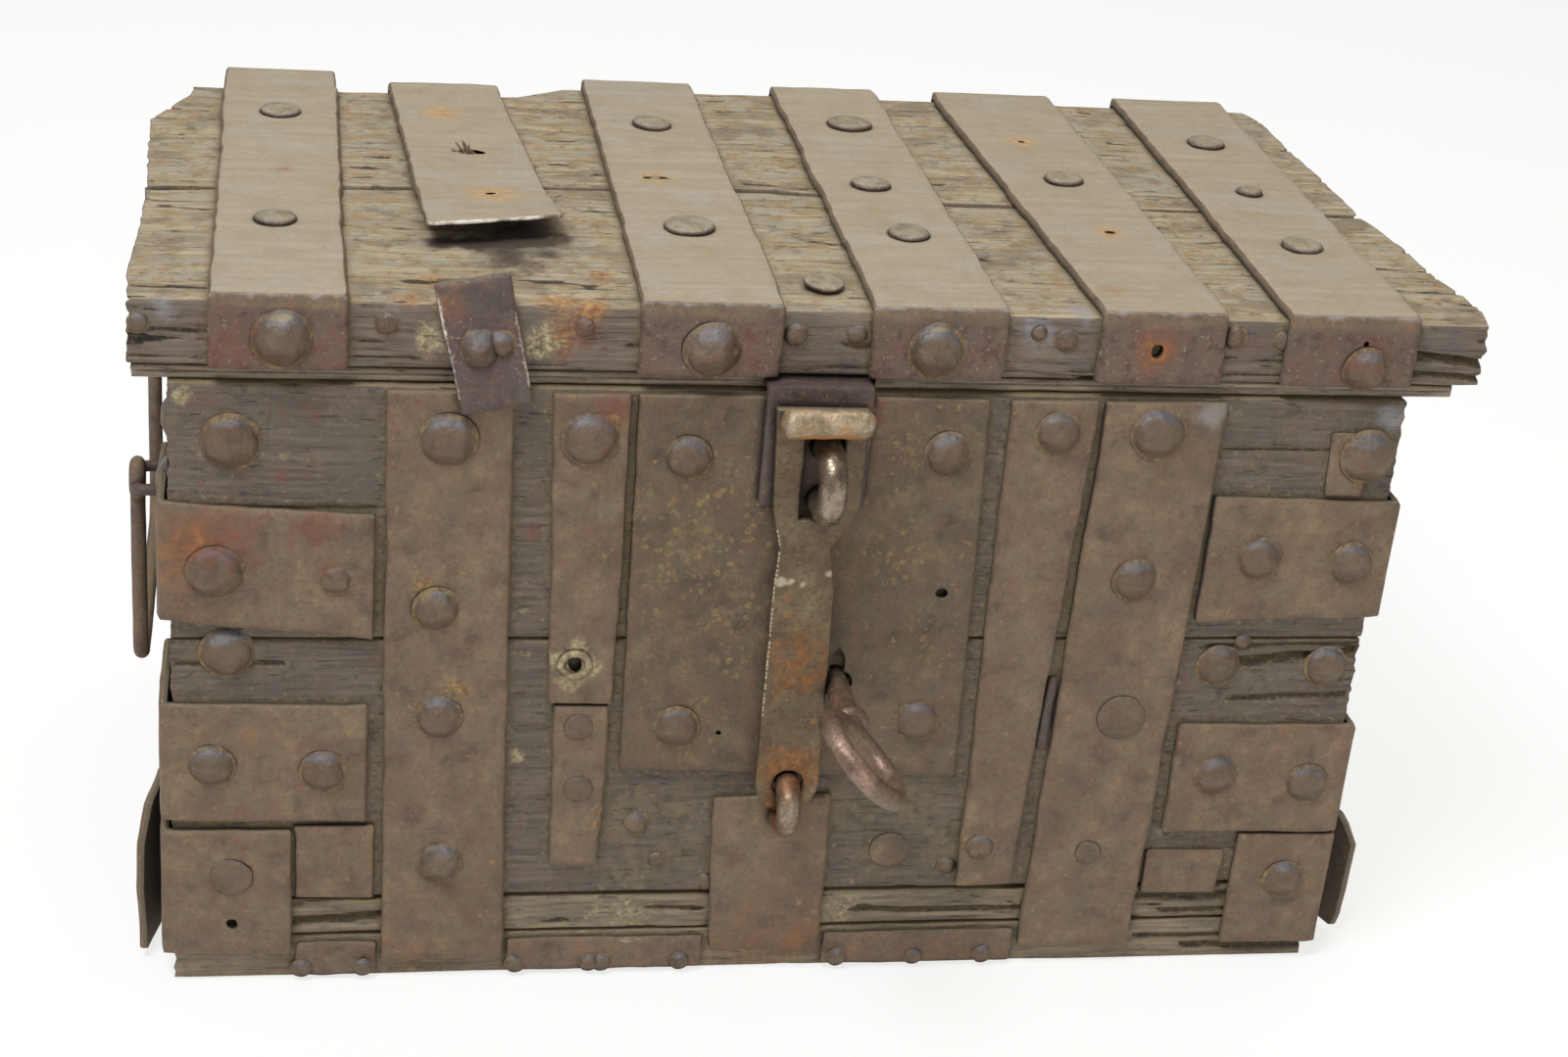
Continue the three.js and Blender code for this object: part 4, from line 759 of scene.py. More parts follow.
# Nail heads, hammered and rubbed: brown below, a painted blue-grey highlight on their upper side and a crusty
# rim
nailIron = {
    **strapIron,
    "stops": [(0.3, "#4c3f34"), (0.45, "#675848"), (0.56, "#70604e"), (0.72, "#837059")],
    "roughness": (0.34, 0.5),
    "metallic": 0.35,
    "layers": [
        *strapIron["layers"][:6],
        ("under", "patch", 0.7, 0.75, 1.25, 0.55, "#5a4330", 0.6),
        # Painted highlight: blue-grey on the upper side of the heads
        ("upper", "patch", 1.0, 0.7, 1.5, 0.8, "#6b696b", 0.34),
        (None, "sand", 1.0, 0.58, 0.76, 0.4, "#3d332b", 0.7),
        ("crack", "moss", 1.6, 1.6, 1.95, 0.75, ("sand", [(0.4, "#6f5a3e"), (0.62, "#a08760")]), 0.9),
        ("dust", "cloud", 0.5, 0.7, 1.15, 0.92,
         ("mottle", [(0.34, "#81745d"), (0.5, "#978a72"), (0.66, "#a59a84")]), 0.7),
        ("crust", "mottle", 1.2, 1.2, 1.5, 0.5, "#97805a", 0.9),
        ("paint", "mottle", 1.0, 0.75, 1.45, 0.5, "#793f33", 0.8),
        ("rust", "mottle", 1.2, 1.1, 1.6, 0.6, "#94592f", 0.9),
        # Painted shade: near black round the heads and in crevices
        ("crevice", "grit", 0.3, 0.32, 0.56, 0.9, "#241b16", 0.9),
    ],
    "relief": {"grit": 0.45, "mottle": 0.9},
}
# Strips and handles still rusting: a dull, live orange-brown
rustyIron = {
    **strapIron,
    "stops": [(0.3, "#55443a"), (0.45, "#715f51"), (0.56, "#7d6a5a"), (0.72, "#936f4f")],
    "roughness": (0.7, 0.9),
}
# The hasp, wrought iron polished by hands: brown and olive, with a soft gloss, a pale painted highlight on
# its upper side and fine pits
rubbedIron = {
    "patterns": ironPatterns,
    "tone": "patch",
    "stops": [(0.3, "#4b3d2d"), (0.45, "#675640"), (0.58, "#75634a"), (0.72, "#8a775a")],
    "roughness": (0.36, 0.52),
    "metallic": 0.4,
    "layers": [
        (None, "cloud", 1.0, 0.46, 0.64, 0.6, "#5c4a38", 0.5),
        (None, "moss", 1.0, 0.5, 0.66, 0.5, "#6a6349", 0.5),
        (None, "grit", 1.0, 0.46, 0.7, 0.55, "#43362a", 0.6),
        (None, "sand", 1.0, 0.58, 0.76, 0.4, "#a38659", 0.6),
        (None, "flecks", 1.0, 0.66, 0.74, 0.5, "#a3703c", 0.6),
        # Painted highlight: pale tan on the upper side
        ("upper", "patch", 0.6, 0.85, 1.3, 0.7, "#a9967a", 0.45),
        ("rust", "mottle", 1.3, 0.8, 1.35, 0.7, ("sand", [(0.4, "#7e512b"), (0.62, "#a66c36")]), 0.8),
        ("pale", "mottle", 1.2, 1.05, 1.4, 0.9, "#b3ab90", 0.6),
        ("soot", "patch", 1.0, 0.8, 1.4, 0.5, "#3f342d", 0.7),
        # Painted shade: near black in crevices and where the iron meets other parts
        ("crevice", "grit", 0.3, 0.32, 0.58, 0.9, "#261e18", 0.8),
        # Near white where the iron is rubbed: bare metal with a painted glint
        ("bare", "grit", 1.0, 1.0, 1.5, 0.85, "#cdbfa4", 0.35),
    ],
    "relief": {"grit": 0.2, "patch": 0.4, "sand": 0.2},
}
# The bar on the hasp, steel polished by the thumb: tan and grey, spotted with orange
barSteel = {
    **rubbedIron,
    "stops": [(0.3, "#5f4e3a"), (0.45, "#857155"), (0.58, "#9d8a70"), (0.72, "#bbac95")],
    "roughness": (0.26, 0.42),
    "layers": [
        (None, "sand", 1.0, 0.5, 0.7, 0.5, "#c5baa8", 0.4),
        (None, "flecks", 1.0, 0.6, 0.68, 0.8, "#b07c42", 0.6),
        (None, "grit", 1.0, 0.56, 0.72, 0.5, "#6f5a41", 0.6),
        ("under", "flecks", 1.4, 1.5, 1.7, 0.8, "#ad7438", 0.7),
        # Painted shade: near black in crevices and where the bar meets the hasp
        ("crevice", "grit", 0.3, 0.32, 0.58, 0.9, "#2b2018", 0.8),
    ],
}
# The staples, steel worn bright by the padlock: the shiniest metal on the box
stapleSteel = {
    **rubbedIron,
    "stops": [(0.3, "#5f5244"), (0.45, "#857565"), (0.58, "#9c8d7c"), (0.72, "#bbae9e")],
    "roughness": (0.15, 0.3),
    "metallic": 0.75,
    "layers": [rubbedIron["layers"][0], *rubbedIron["layers"][2:5], *rubbedIron["layers"][6:]],
}
# The key, steel worn by handling: reddish brown with a satin shine
keySteel = {
    **rubbedIron,
    "stops": [(0.3, "#56453b"), (0.45, "#775f50"), (0.58, "#8c7261"), (0.72, "#a88d7a")],
    "roughness": (0.22, 0.38),
    "layers": [layer for layer in rubbedIron["layers"] if layer[0] != "upper"],
}


# Old oak, split and weathered: dry and dusty on the lid, dark and greasy on the front, with fibres and short
# checks, painted shade near black in the corners, and pale crumbs there. Growth rings are 1.7 mm apart.
# Single fibres are 0.1 mm wide and are drawn coarser, to show
def woodLook(along, stops):
    sizes = {"grain": (30, 1.7, 1.7), "fibre": (11, 0.75, 0.75), "broad": (38, 14, 14),
             "checks": (10, 1.4, 1.4), "bands": (60, 5.5, 5.5)}
    if along == "y":
        sizes = {key: (size[1], size[0], size[2]) for key, size in sizes.items()}
    return {
        "patterns": {
            "grain": ("noise", sizes["grain"], 6, None),
            "fibre": ("noise", sizes["fibre"], 4, None),
            "broad": ("noise", sizes["broad"], 5, None),
            "cloud": ("noise", (22, 18, 22), 6, None),
            "bands": ("noise", sizes["bands"], 5, None),
            "checks": ("noise", sizes["checks"], 4, (0.6, 0.72)),
            "patch": ("noise", (8, 8, 8), 7, None),
            "mottle": ("noise", (4.2, 4.2, 4.2), 6, None),
            "sand": ("noise", (1.9, 1.9, 1.9), 3, None),
            "grit": ("noise", (1.3, 1.3, 1.3), 5, None),
        },
        "tone": "grain",
        "stops": stops,
        "roughness": (0.75, 0.9),
        "metallic": 0.0,
        "layers": [
            (None, "broad", 1.0, 0.46, 0.66, 0.6, "#59564b", 0.85),
            (None, "mottle", 1.0, 0.54, 0.68, 0.4, "#6c5346", 0.85),
            (None, "fibre", 1.0, 0.58, 0.7, 0.3, "#85745d", 0.85),
            ("ledge", "patch", 0.8, 0.95, 1.35, 0.8, "#8d7b5e", 0.9),
            ("dust", "broad", 0.3, 0.5, 0.9, 0.98,
             ("grain", [(0.32, "#6f604a"), (0.42, "#8c7d63"), (0.5, "#988a71"), (0.58, "#a29479"),
                        (0.7, "#b2a180")]),
             0.9),
            ("dust", "bands", 1.0, 1.44, 1.62, 0.7, "#8f8c7d", 0.9),
            ("dust", "patch", 1.0, 1.46, 1.64, 0.65, "#8b6f48", 0.9),
            ("dust", "fibre", 1.0, 1.56, 1.7, 0.5, "#c4ac7c", 0.9),
            ("dust", "cloud", 1.0, 1.49, 1.64, 0.7, "#71644f", 0.9),
            ("dust", "mottle", 1.0, 1.55, 1.7, 0.6, "#514536", 0.9),
            ("bend", "fibre", 1.2, 1.35, 1.6, 0.6, "#a98a5c", 0.9),
            ("lidFace", "broad", 1.0, 1.42, 1.62, 0.4, "#5e595a", 0.8),
            ("lidFace", "patch", 1.0, 1.52, 1.68, 0.55, "#6c4a3f", 0.85),
            ("lidFace", "mottle", 1.0, 1.54, 1.68, 0.5, "#3a322d", 0.85),
            ("paint", "mottle", 1.0, 0.75, 1.45, 0.65, "#713a30", 0.85),
            ("rust", "patch", 0.9, 0.75, 1.5, 0.85,
             ("sand", [(0.38, "#7b4f2a"), (0.52, "#9c6d3a"), (0.66, "#bf9458")]), 0.9),
            ("pale", "mottle", 1.4, 1.05, 1.4, 0.85,
             ("sand", [(0.36, "#6b5f49"), (0.5, "#948768"), (0.66, "#b8ab86")]), 0.9),
            # Painted shadow under the torn strap's lifted end, and soot elsewhere
            ("soot", "patch", 1.0, 0.7, 1.5, 0.9, "#35281f", 0.9),
            ("haze", "patch", 1.2, 1.0, 1.5, 0.6, "#8f8f92", 0.7),
            ("halo", "patch", 1.0, 0.8, 1.5, 0.6, "#a58350", 0.85),
            (None, "checks", 1.0, 0.3, 0.9, 0.5, "#352d26", 0.9),
            ("crack", "grain", 0.5, 0.9, 1.3, 0.9, "#231d19", 0.95),
            # Painted shade: near black in crevices and where the wood meets other parts, then pale crumbs
            # gathered there
            ("crevice", "grit", 0.3, 0.34, 0.56, 0.92, "#1f1915", 0.95),
            ("crevice", "sand", 1.0, 0.72, 0.88, 0.6, "#8f7f60", 0.9),
        ],
        "relief": {"grain": 0.3, "fibre": 0.22, "checks": -0.5, "patch": 0.7, "grit": 0.35},
    }


# The oak's tones, from its dark lines to its pale ones
oakTones = {
    "lid": [(0.32, "#493d37"), (0.46, "#685a50"), (0.56, "#74665a"), (0.7, "#867866")],
    "front": [(0.32, "#4b4138"), (0.46, "#5e534a"), (0.56, "#675c52"), (0.7, "#766a5c")],
    "base": [(0.32, "#54463a"), (0.46, "#796b5a"), (0.56, "#887966"), (0.7, "#a08d6b")],
    "ends": [(0.32, "#3f3831"), (0.46, "#595147"), (0.56, "#665d51"), (0.7, "#776e5f")],
    "lining": [(0.32, "#6a5c4f"), (0.46, "#8b7c6d"), (0.56, "#9a8b7c"), (0.7, "#ada08e")],
}
frontLook = woodLook("x", oakTones["front"])
frontLook["layers"].insert(3, (None, "patch", 1.0, 0.5, 0.62, 0.75,
                               ("mottle", [(0.36, "#4a3f38"), (0.5, "#665b4d"), (0.66, "#77684f")]), 0.8))
frontLook["layers"].insert(4, (None, "mottle", 1.0, 0.56, 0.68, 0.45, "#6e4b3e", 0.8))
frontLook["layers"] += [
    ("crust", "patch", 0.7, 0.5, 1.2, 0.8,
     ("mottle", [(0.36, "#51473a"), (0.5, "#695d4a"), (0.66, "#7b6c50")]), 0.8),
    (None, "sand", 1.0, 0.6, 0.74, 0.5, "#928365", 0.9),
]
frontLook["relief"] = {"grain": 0.2, "fibre": 0.1, "checks": -0.5, "patch": 0.8, "mottle": 0.5, "grit": 0.35}
topOak = surface("weathered_oak_lid", woodLook("x", oakTones["lid"]))
frontOak = surface("smoked_oak_front", frontLook)
baseOak = surface("rotten_oak_base", woodLook("x", oakTones["base"]))
endOak = surface("smoked_oak_ends", woodLook("y", oakTones["ends"]))
liningOak = surface("sawn_oak_lining", woodLook("x", oakTones["lining"]))
strapFinish = surface("wrought_iron_hammered", strapIron)
plateFinish = surface("wrought_iron_pitted", lockPlateIron)
scaleFinish = surface("wrought_iron_forge_scale", scaleIron)
nailFinish = surface("wrought_iron_nail_heads", nailIron)
rustyFinish = surface("wrought_iron_rusting", rustyIron)
rubbedFinish = surface("wrought_iron_rubbed", rubbedIron)
stapleFinish = surface("steel_staple_worn", stapleSteel)
keyFinish = surface("steel_key_handled", keySteel)
barFinish = surface("steel_bar_spotted", barSteel)
print("finishes made")

# Straps over the lid: shares of the lid's width at its front and back, and nails by share of depth or height,
# share of the strap's width and size. Holes are (centre, direction, half width, half height, depth)
lidStraps = {
    "lid_strap_1": {
        "front": (0.060, 0.1535), "back": (0.060, 0.152), "hinged": True,
        "top": [(0.77, 0.5, "medium"), (0.275, 0.47, "medium")], "face": [(0.5, 0.53, "large")],
    },
    "lid_strap_3": {
        "front": (0.358, 0.4605), "back": (0.3615, 0.457), "hinged": True,
        "top": [(0.766, 0.5, "medium"), (0.286, 0.5, "large")], "face": [(0.45, 0.5, "large")],
        "holes": [((-38, 1, strapTop), upward, 4.2, 1.3, 2.2)],
    },
    "lid_strap_4": {
        "front": (0.524, 0.6225), "back": (0.5285, 0.6205), "hinged": False,
        "top": [(0.80, 0.56, "large"), (0.498, 0.45, "medium"), (0.28, 0.54, "medium")],
        "face": [(0.5, 0.48, "large")],
    },
    "lid_strap_5": {
        "front": (0.692, 0.787), "back": (0.6726, 0.7812), "hinged": False,
        "top": [(0.55, 0.52, "medium")], "face": [],
        "holes": [((110.1, -41.5, strapTop), upward, 2.0, 1.3, 4),
                  ((107.7, ironFace, 231), forward, 2.2, 2.2, 4),
                  ((102.5, 53.8, strapTop), upward, 1.2, 1.0, 1.5)],
    },
    "lid_strap_6": {
        "front": (0.8345, 0.9355), "back": (0.840, 0.940), "hinged": True,
        "top": [(0.76, 0.5, "medium"), (0.514, 0.5, "small"), (0.27, 0.54, "medium")],
        "face": [(0.33, 0.62, "medium")],
        "holes": [((176.1, ironFace, 234.5), forward, 1.2, 1.0, 2.2)],
    },
}
hinge = {
    "y": 117.0, "z": 214.15, "knuckle": 5.7, "bore": 2.8, "middleShare": 0.42, "relief": 1.0, "leaf": 5,
    "gap": 0.3,
}
flangeHeight = lidBox["top"] - lidBox["under"] - iron["gap"]


# A lid strap's line: up the front flange, over the lid and down the back, with mitred bends
def strapRows(place, backBottom):
    t, m, bend = iron["strap"], iron["mitre"], iron["bend"]
    near, far = ironBack, box["back"] + iron["gap"]
    frontX, backX = [onLidX(s) for s in place["front"]], [onLidX(s) for s in place["back"]]
    spots = [
        (frontX, near, lidBox["under"] + iron["gap"], (0, -t, 0)),
        (frontX, near, strapUnder - bend, (0, -t, 0)), (frontX, near, strapUnder, (0, -m, m)),
        (frontX, near + bend, strapUnder, (0, 0, t)), (backX, far - bend, strapUnder, (0, 0, t)),
        (backX, far, strapUnder, (0, m, m)), (backX, far, strapUnder - bend, (0, t, 0)),
        (backX, far, backBottom, (0, t, 0)),
    ]
    return [((x[0], y, z), (x[1], y, z), out) for x, y, z, out in spots]


# Where the knuckles of a hinge sit along it: two on the lid and one between them on the body
def knuckleSpans(low, high):
    half, centre, gap = (high - low) * hinge["middleShare"] / 2, (low + high) / 2, hinge["gap"]
    return [(low, centre - half - gap), (centre + half + gap, high)], [(centre - half, centre + half)]


# The rolled end of a hinge leaf, with its bore left open for the pin, and the bit of leaf beside it
def knuckle(low, high, upper):
    rings, sides = [], 24
    for x, radius in ((low, hinge["bore"]), (low, hinge["knuckle"]), (high, hinge["knuckle"]),
                      (high, hinge["bore"])):
        rings += [[x, hinge["y"] + math.cos(k / sides * 2 * math.pi) * radius,
                   hinge["z"] + math.sin(k / sides * 2 * math.pi) * radius] for k in range(sides)]
    faces = []
    for level in range(4):
        faces += band(level * sides, (level + 1) % 4 * sides, sides)
    reach = hinge["knuckle"] + hinge["relief"] + hinge["leaf"]
    ends = (hinge["z"], hinge["z"] + reach) if upper else (hinge["z"] - reach, hinge["z"])
    far = box["back"] + iron["gap"]
    rows = [((low, far, z), (high, far, z), (0, iron["strap"], 0)) for z in (ends[1], ends[0])]
    return [{"points": np.array(rings), "faces": faces}, sheet(rows, 4, 0, (0, 0), 0.05, 0.2)]


for number, (name, place) in enumerate(lidStraps.items()):
    seed = 40 * number + 3
    bottom = (hinge["z"] + hinge["knuckle"] + hinge["relief"] if place["hinged"]
              else lidBox["under"] + iron["gap"])
    parts = [sheet(strapRows(place, bottom), wobble=1.0, seed=seed)]
    if place["hinged"]:
        for span in knuckleSpans(*[onLidX(s) for s in place["back"]])[0]:
            parts += knuckle(*span, True)

    def across(y, x):
        a, b = (place["front"][i] + (place["back"][i] - place["front"][i]) * y for i in (0, 1))
        return onLidX(a + (b - a) * x)

    stains["halo"] = [(*centre, 13, 1.0) for centre, *_ in place.get("holes", ()) if centre[1] > ironFace + 1]
    for k, (y, x, size) in enumerate(place["top"]):
        spot = (across(y, x), onLidY(y), strapTop)
        stains["halo"].append((*spot, nailSizes[size] * 1.8, 0.9))
        parts.append(nailHead(spot, upward, nailSizes[size], flat=True, seed=seed + k))
    for k, (z, x, size) in enumerate(place["face"]):
        spot = (across(0, x), ironFace, lidBox["under"] + z * flangeHeight)
        tall = nailSizes[size] * (0.86 if name == "lid_strap_1" else 0.66)
        parts.append(nailHead(spot, forward, nailSizes[size], tall, seed=seed + 7 + k, blows=14))
    addPiece(name + "_forged", parts, "lid", [strapFinish, nailFinish], [name],
             place.get("holes", ()))

# The broken second strap: its rear part lifts at a torn end, and a bent scrap is left at the front edge
tornStrap = {
    "back": (0.1955, 0.2885), "front": (0.2125, 0.314), "depths": (0.945, 0.6, 0.42, 0.232),
    "lift": (0, 0, 1.5, 7.0), "point": 0.025, "thinEnd": 1.0,
    "holes": [((-98.2, 22.3, strapTop), upward, 4.4, 2.6, 2.2),
              ((-95.2, -26.2, strapTop + 3), upward, 1.8, 1.2, 2)],
    "halos": [(-106.9, 64.8, 244, 15, 1.1), (-98.2, 22.3, 244, 12, 0.8), (-94, -27, 247, 18, 1.1)],
}
farY = onLidY(tornStrap["depths"][0]) + iron["bend"]
backX = [onLidX(s) for s in tornStrap["back"]]
flange = [
    (lidBox["under"] + iron["gap"], (0, iron["strap"], 0)),
    (strapUnder - iron["bend"], (0, iron["strap"], 0)),
    (strapUnder, (0, iron["mitre"], iron["mitre"])),
]
rows = [((backX[0], farY, z), (backX[1], farY, z), out) for z, out in flange]
for i, depth in enumerate(tornStrap["depths"]):
    share = (tornStrap["depths"][0] - depth) / (tornStrap["depths"][0] - tornStrap["depths"][-1])
    xs = [onLidX(b + (f - b) * share) for b, f in zip(tornStrap["back"], tornStrap["front"])]
    skew, thick = (tornStrap["point"], tornStrap["thinEnd"]) if i == 3 else (0, iron["strap"])
    z = strapUnder + tornStrap["lift"][i]
    rows.append(((xs[0], onLidY(depth - skew), z), (xs[1], onLidY(depth + skew), z), (0, 0, thick)))
tip = np.linspace(rows[-1][0], rows[-1][1], 26) + [0, 0.6, 0.6]
# Bare metal and a painted glint: a near-white line along the torn end
stains["bare"] = [(x, y, z, 2.2, 1.4) for x, y, z in tip]  # bright metal along the torn end
stains["halo"] = tornStrap["halos"]
addPiece("lid_strap_2_rear_forged", [sheet(rows, 1.3, 0.7, (0.4, 2.6), 0.3, seed=211)], "lid",
         [strapFinish, nailFinish], ["lid_strap_2_rear"], tornStrap["holes"], clear=("soot",))

scrap = {
    "top": (0.2123, 0.2644), "foot": (0.2335, 0.2842), "topRise": (6.5, 10.5), "footDrop": (7.0, 2.4),
    "kick": 5.0, "nails": [((-103.2, 228.2), 5.6, 5.0, 224), ((-97.0, 230.2), 4.0, 3.6, 227)],
}
feet = [box["top"] - drop for drop in scrap["footDrop"]]
kicked = ironBack - scrap["kick"]
tops = [(onLidX(share), ironBack + scrap["kick"] * rise / (lidBox["top"] - foot), lidBox["top"] + rise)
        for share, rise, foot in zip(scrap["top"], scrap["topRise"], feet)]
ends = [(onLidX(share), kicked, foot) for share, foot in zip(scrap["foot"], feet)]
out = (0, -iron["strap"], 0)
parts = [sheet([(*tops, out), (*ends, out)], 1.3, 0.7, (0.9, 1.0), 0.55, seed=223)]
for (x, z), radius, height, seed in scrap["nails"]:
    parts.append(nailHead((x, ironFace - 1.4, z), (0, -1, 0.1), radius, height, seed=seed, blows=18,
                          skirt=1.3))
# The scrap's rims are painted near white: glints along its edges
for side in (0, 1):
    rim = np.linspace(tops[side], ends[side], 40)[3 + 9 * side:34] + np.array(out)
    stains["bare"] += [(*spot, 1.7, 1.2) for spot in rim]  # the scrap's white rims
addPiece("lid_strap_2_fragment_forged", parts, "lid", [scaleFinish, nailFinish],
         ["lid_strap_2_fragment"])
print("lid straps forged")

lock = {"x": 16.2, "z": 113.206}


# A place on the face of the front's irons, by shares of the front's width and height
def onFace(x, z):
    return (onFrontX(x), ironFace, onFrontZ(z))


# Irons on the front: corners by share of the front's width and height, from the top left round to the lower
# left, and nails by share and size
frontIrons = {
    "front_strap_1": {
        "corners": [(0.168, 0.997), (0.265, 0.998), (0.276, 0.033), (0.1735, 0.036)],
        "nails": [(0.215, 0.923, "large"), (0.2105, 0.653, "medium"), (0.2155, 0.471, "medium"),
                  (0.219, 0.215, "medium")],
    },
    "front_strap_2_upper": {
        "corners": [(0.296, 0.996), (0.358, 0.996), (0.357, 0.4885), (0.3045, 0.4905)],
        "nails": [(0.326, 0.929, "large")],
        "holes": [(onFace(0.324, 0.561), forward, 2.6, 2.4, 2.4)],
    },
    "front_strap_2_lower": {
        "corners": [(0.309, 0.4898), (0.3545, 0.488), (0.3535, 0.203), (0.3115, 0.203)],
        "nails": [(0.3295, 0.453, "small", "flat"), (0.3325, 0.344, "small", "flat")],
    },
    "lock_plate": {
        "corners": [(0.362, 0.997), (0.644, 0.997), (0.655, 0.358), (0.366, 0.374)],
        "nails": [(0.404, 0.9, "medium"), (0.6135, 0.912, "medium"), (0.411, 0.452, "medium"),
                  (0.614, 0.461, "medium")],
        "holes": [
            ((lock["x"], ironFace, lock["z"]), forward, 5.1, 5.1, 6),
            ((lock["x"], ironFace, lock["z"] + 7), forward, 6, 2.4, 6),
            (onFace(0.6225, 0.682), forward, 1.9, 1.9, 6),
            ((-20.9, ironFace, 94.4), forward, 0.9, 0.8, 2),
        ],
        "finish": plateFinish, "slot": "dark_iron",
    },
    "front_strap_4": {
        "corners": [(0.6625, 0.996), (0.7355, 0.997), (0.7155, 0.155), (0.667, 0.153)],
        "nails": [(0.7025, 0.946, "medium"), (0.684, 0.228, "small")],
    },
    "front_strap_5": {
        "corners": [(0.7405, 0.996), (0.842, 0.998), (0.832, 0.030), (0.7295, 0.039)],
        "nails": [(0.787, 0.948, "large"), (0.7855, 0.705, "medium"), (0.792, 0.4645, "large", "flat"),
                  (0.7815, 0.216, "small", "flat")],
    },
    "hasp_plate": {"corners": [(0.4475, 0.322), (0.5495, 0.327), (0.551, 0.038), (0.4535, 0.042)]},
    "old_plate_left": {
        "corners": [(0.1005, 0.28), (0.166, 0.279), (0.167, 0.146), (0.101, 0.149)], "thick": iron["thin"],
    },
    "old_plate_right": {
        "corners": [(0.837, 0.214), (0.908, 0.212), (0.906, 0.129), (0.836, 0.131)], "thick": iron["thin"],
    },
    "remnant_plate": {
        "corners": [(0.9365, 0.95), (0.972, 0.95), (0.9705, 0.8435), (0.9385, 0.8435)], "thick": iron["thin"],
        "nails": [(0.9697, 0.9126, "large")],
    },
}


def frontNails(nails, face, seed):
    made = []
    for k, (x, z, size, *kind) in enumerate(nails):
        flat = "flat" in kind
        made.append(nailHead((onFrontX(x), face, onFrontZ(z)), forward, nailSizes[size], flat=flat,
                             seed=seed + k, height=0.9 if flat else None))
    return made


# The raised rim round the hole that a lost nail tore
tornRim = {"x": -69, "z": 120.05, "reach": 4.3, "thick": 1.3, "proud": 0.1}
for number, (name, place) in enumerate(frontIrons.items()):
    topLeft, topRight, lowRight, lowLeft = ((onFrontX(x), ironBack, onFrontZ(z)) for x, z in place["corners"])
    depth, seed = place.get("thick", iron["strap"]), 300 + 20 * number
    rows = [(topLeft, topRight, (0, -depth, 0)), (lowLeft, lowRight, (0, -depth, 0))]
    parts = [sheet(rows, wobble=0.7, torn=(0.3, 0.4), seed=seed)]
    parts += frontNails(place.get("nails", ()), ironBack - depth, seed + 4)
    if name == "front_strap_2_upper":
        ring = arc((tornRim["x"], ironFace + tornRim["proud"], tornRim["z"]), (tornRim["reach"], 0, 0),
                   (0, 0, tornRim["reach"]), fullTurn, 25)[:-1]
        parts.append(rod(ring, tornRim["thick"], 10, closed=True, dents=0.9, seed=411))
    addPiece(name + "_forged", parts, "chest_body",
             [place.get("finish", strapFinish), nailFinish], [name], place.get("holes", ()))

# Plates bent round the front corners: heights by share along their front edge and at the corner, and how far
# back they reach along the end, in mm
cornerPlates = {
    "corner_plate_left_1": {
        "side": -1, "edge": 0.1625, "near": (0.6, 0.8015), "corner": (0.631, 0.8195), "back": -66.9,
        "nails": [(0.0385, 0.711, "large"), (0.1305, 0.7, "small")],
    },
    "corner_plate_left_2": {
        "side": -1, "edge": 0.1595, "near": (0.287, 0.489), "corner": (0.292, 0.4905), "back": -66.9,
        "nails": [(0.034, 0.39, "medium"), (0.1225, 0.378, "medium")],
    },
    "corner_plate_left_3": {
        "side": -1, "edge": 0.0995, "near": (0.0495, 0.272), "corner": (0.054, 0.275), "back": -100,
        "nails": [(0.049, 0.194, "medium", "flat")], "holes": [(onFace(0.05, 0.109), forward, 1.9, 1.9, 4)],
    },
    "corner_plate_right_1": {
        "side": 1, "edge": 0.8435, "near": (0.632, 0.8445), "corner": (0.638, 0.836), "back": -66.9,
        "nails": [(0.8905, 0.7425, "medium"), (0.9715, 0.735, "medium")],
    },
    "corner_plate_right_2": {
        "side": 1, "edge": 0.8455, "near": (0.25, 0.4465), "corner": (0.246, 0.444), "back": -66.9,
        "nails": [(0.8855, 0.359, "medium"), (0.9695, 0.34, "medium")],
    },
    "corner_plate_right_3": {
        "side": 1, "edge": 0.9165, "near": (0.036, 0.2455), "corner": (0.0325, 0.2425), "back": -100,
        "nails": [(0.9645, 0.159, "medium")],
    },
}
for number, (name, place) in enumerate(cornerPlates.items()):
    way = place["side"]
    face = way * (box["right"] + iron["gap"])
    t, m = iron["strap"], iron["mitre"]
    spots = [
        (onFrontX(place["edge"]), ironBack, place["near"], (0, -t, 0)),
        (face - way * iron["bend"], ironBack, place["corner"], (0, -t, 0)),
        (face, ironBack, place["corner"], (way * m, -m, 0)),
        (face, ironBack + iron["bend"], place["corner"], (way * t, 0, 0)),
        (face, place["back"], place["corner"], (way * t, 0, 0)),
    ]
    rows = [((x, y, onFrontZ(z[0])), (x, y, onFrontZ(z[1])), out) for x, y, z, out in spots]
    seed = 520 + 20 * number
    parts = ([sheet(rows, wobble=0.7, torn=(0.8, 0.8), seed=seed)]
             + frontNails(place["nails"], ironFace, seed + 4))
    addPiece(name + "_forged", parts, "chest_body", [strapFinish, nailFinish], [name],
             place.get("holes", ()))

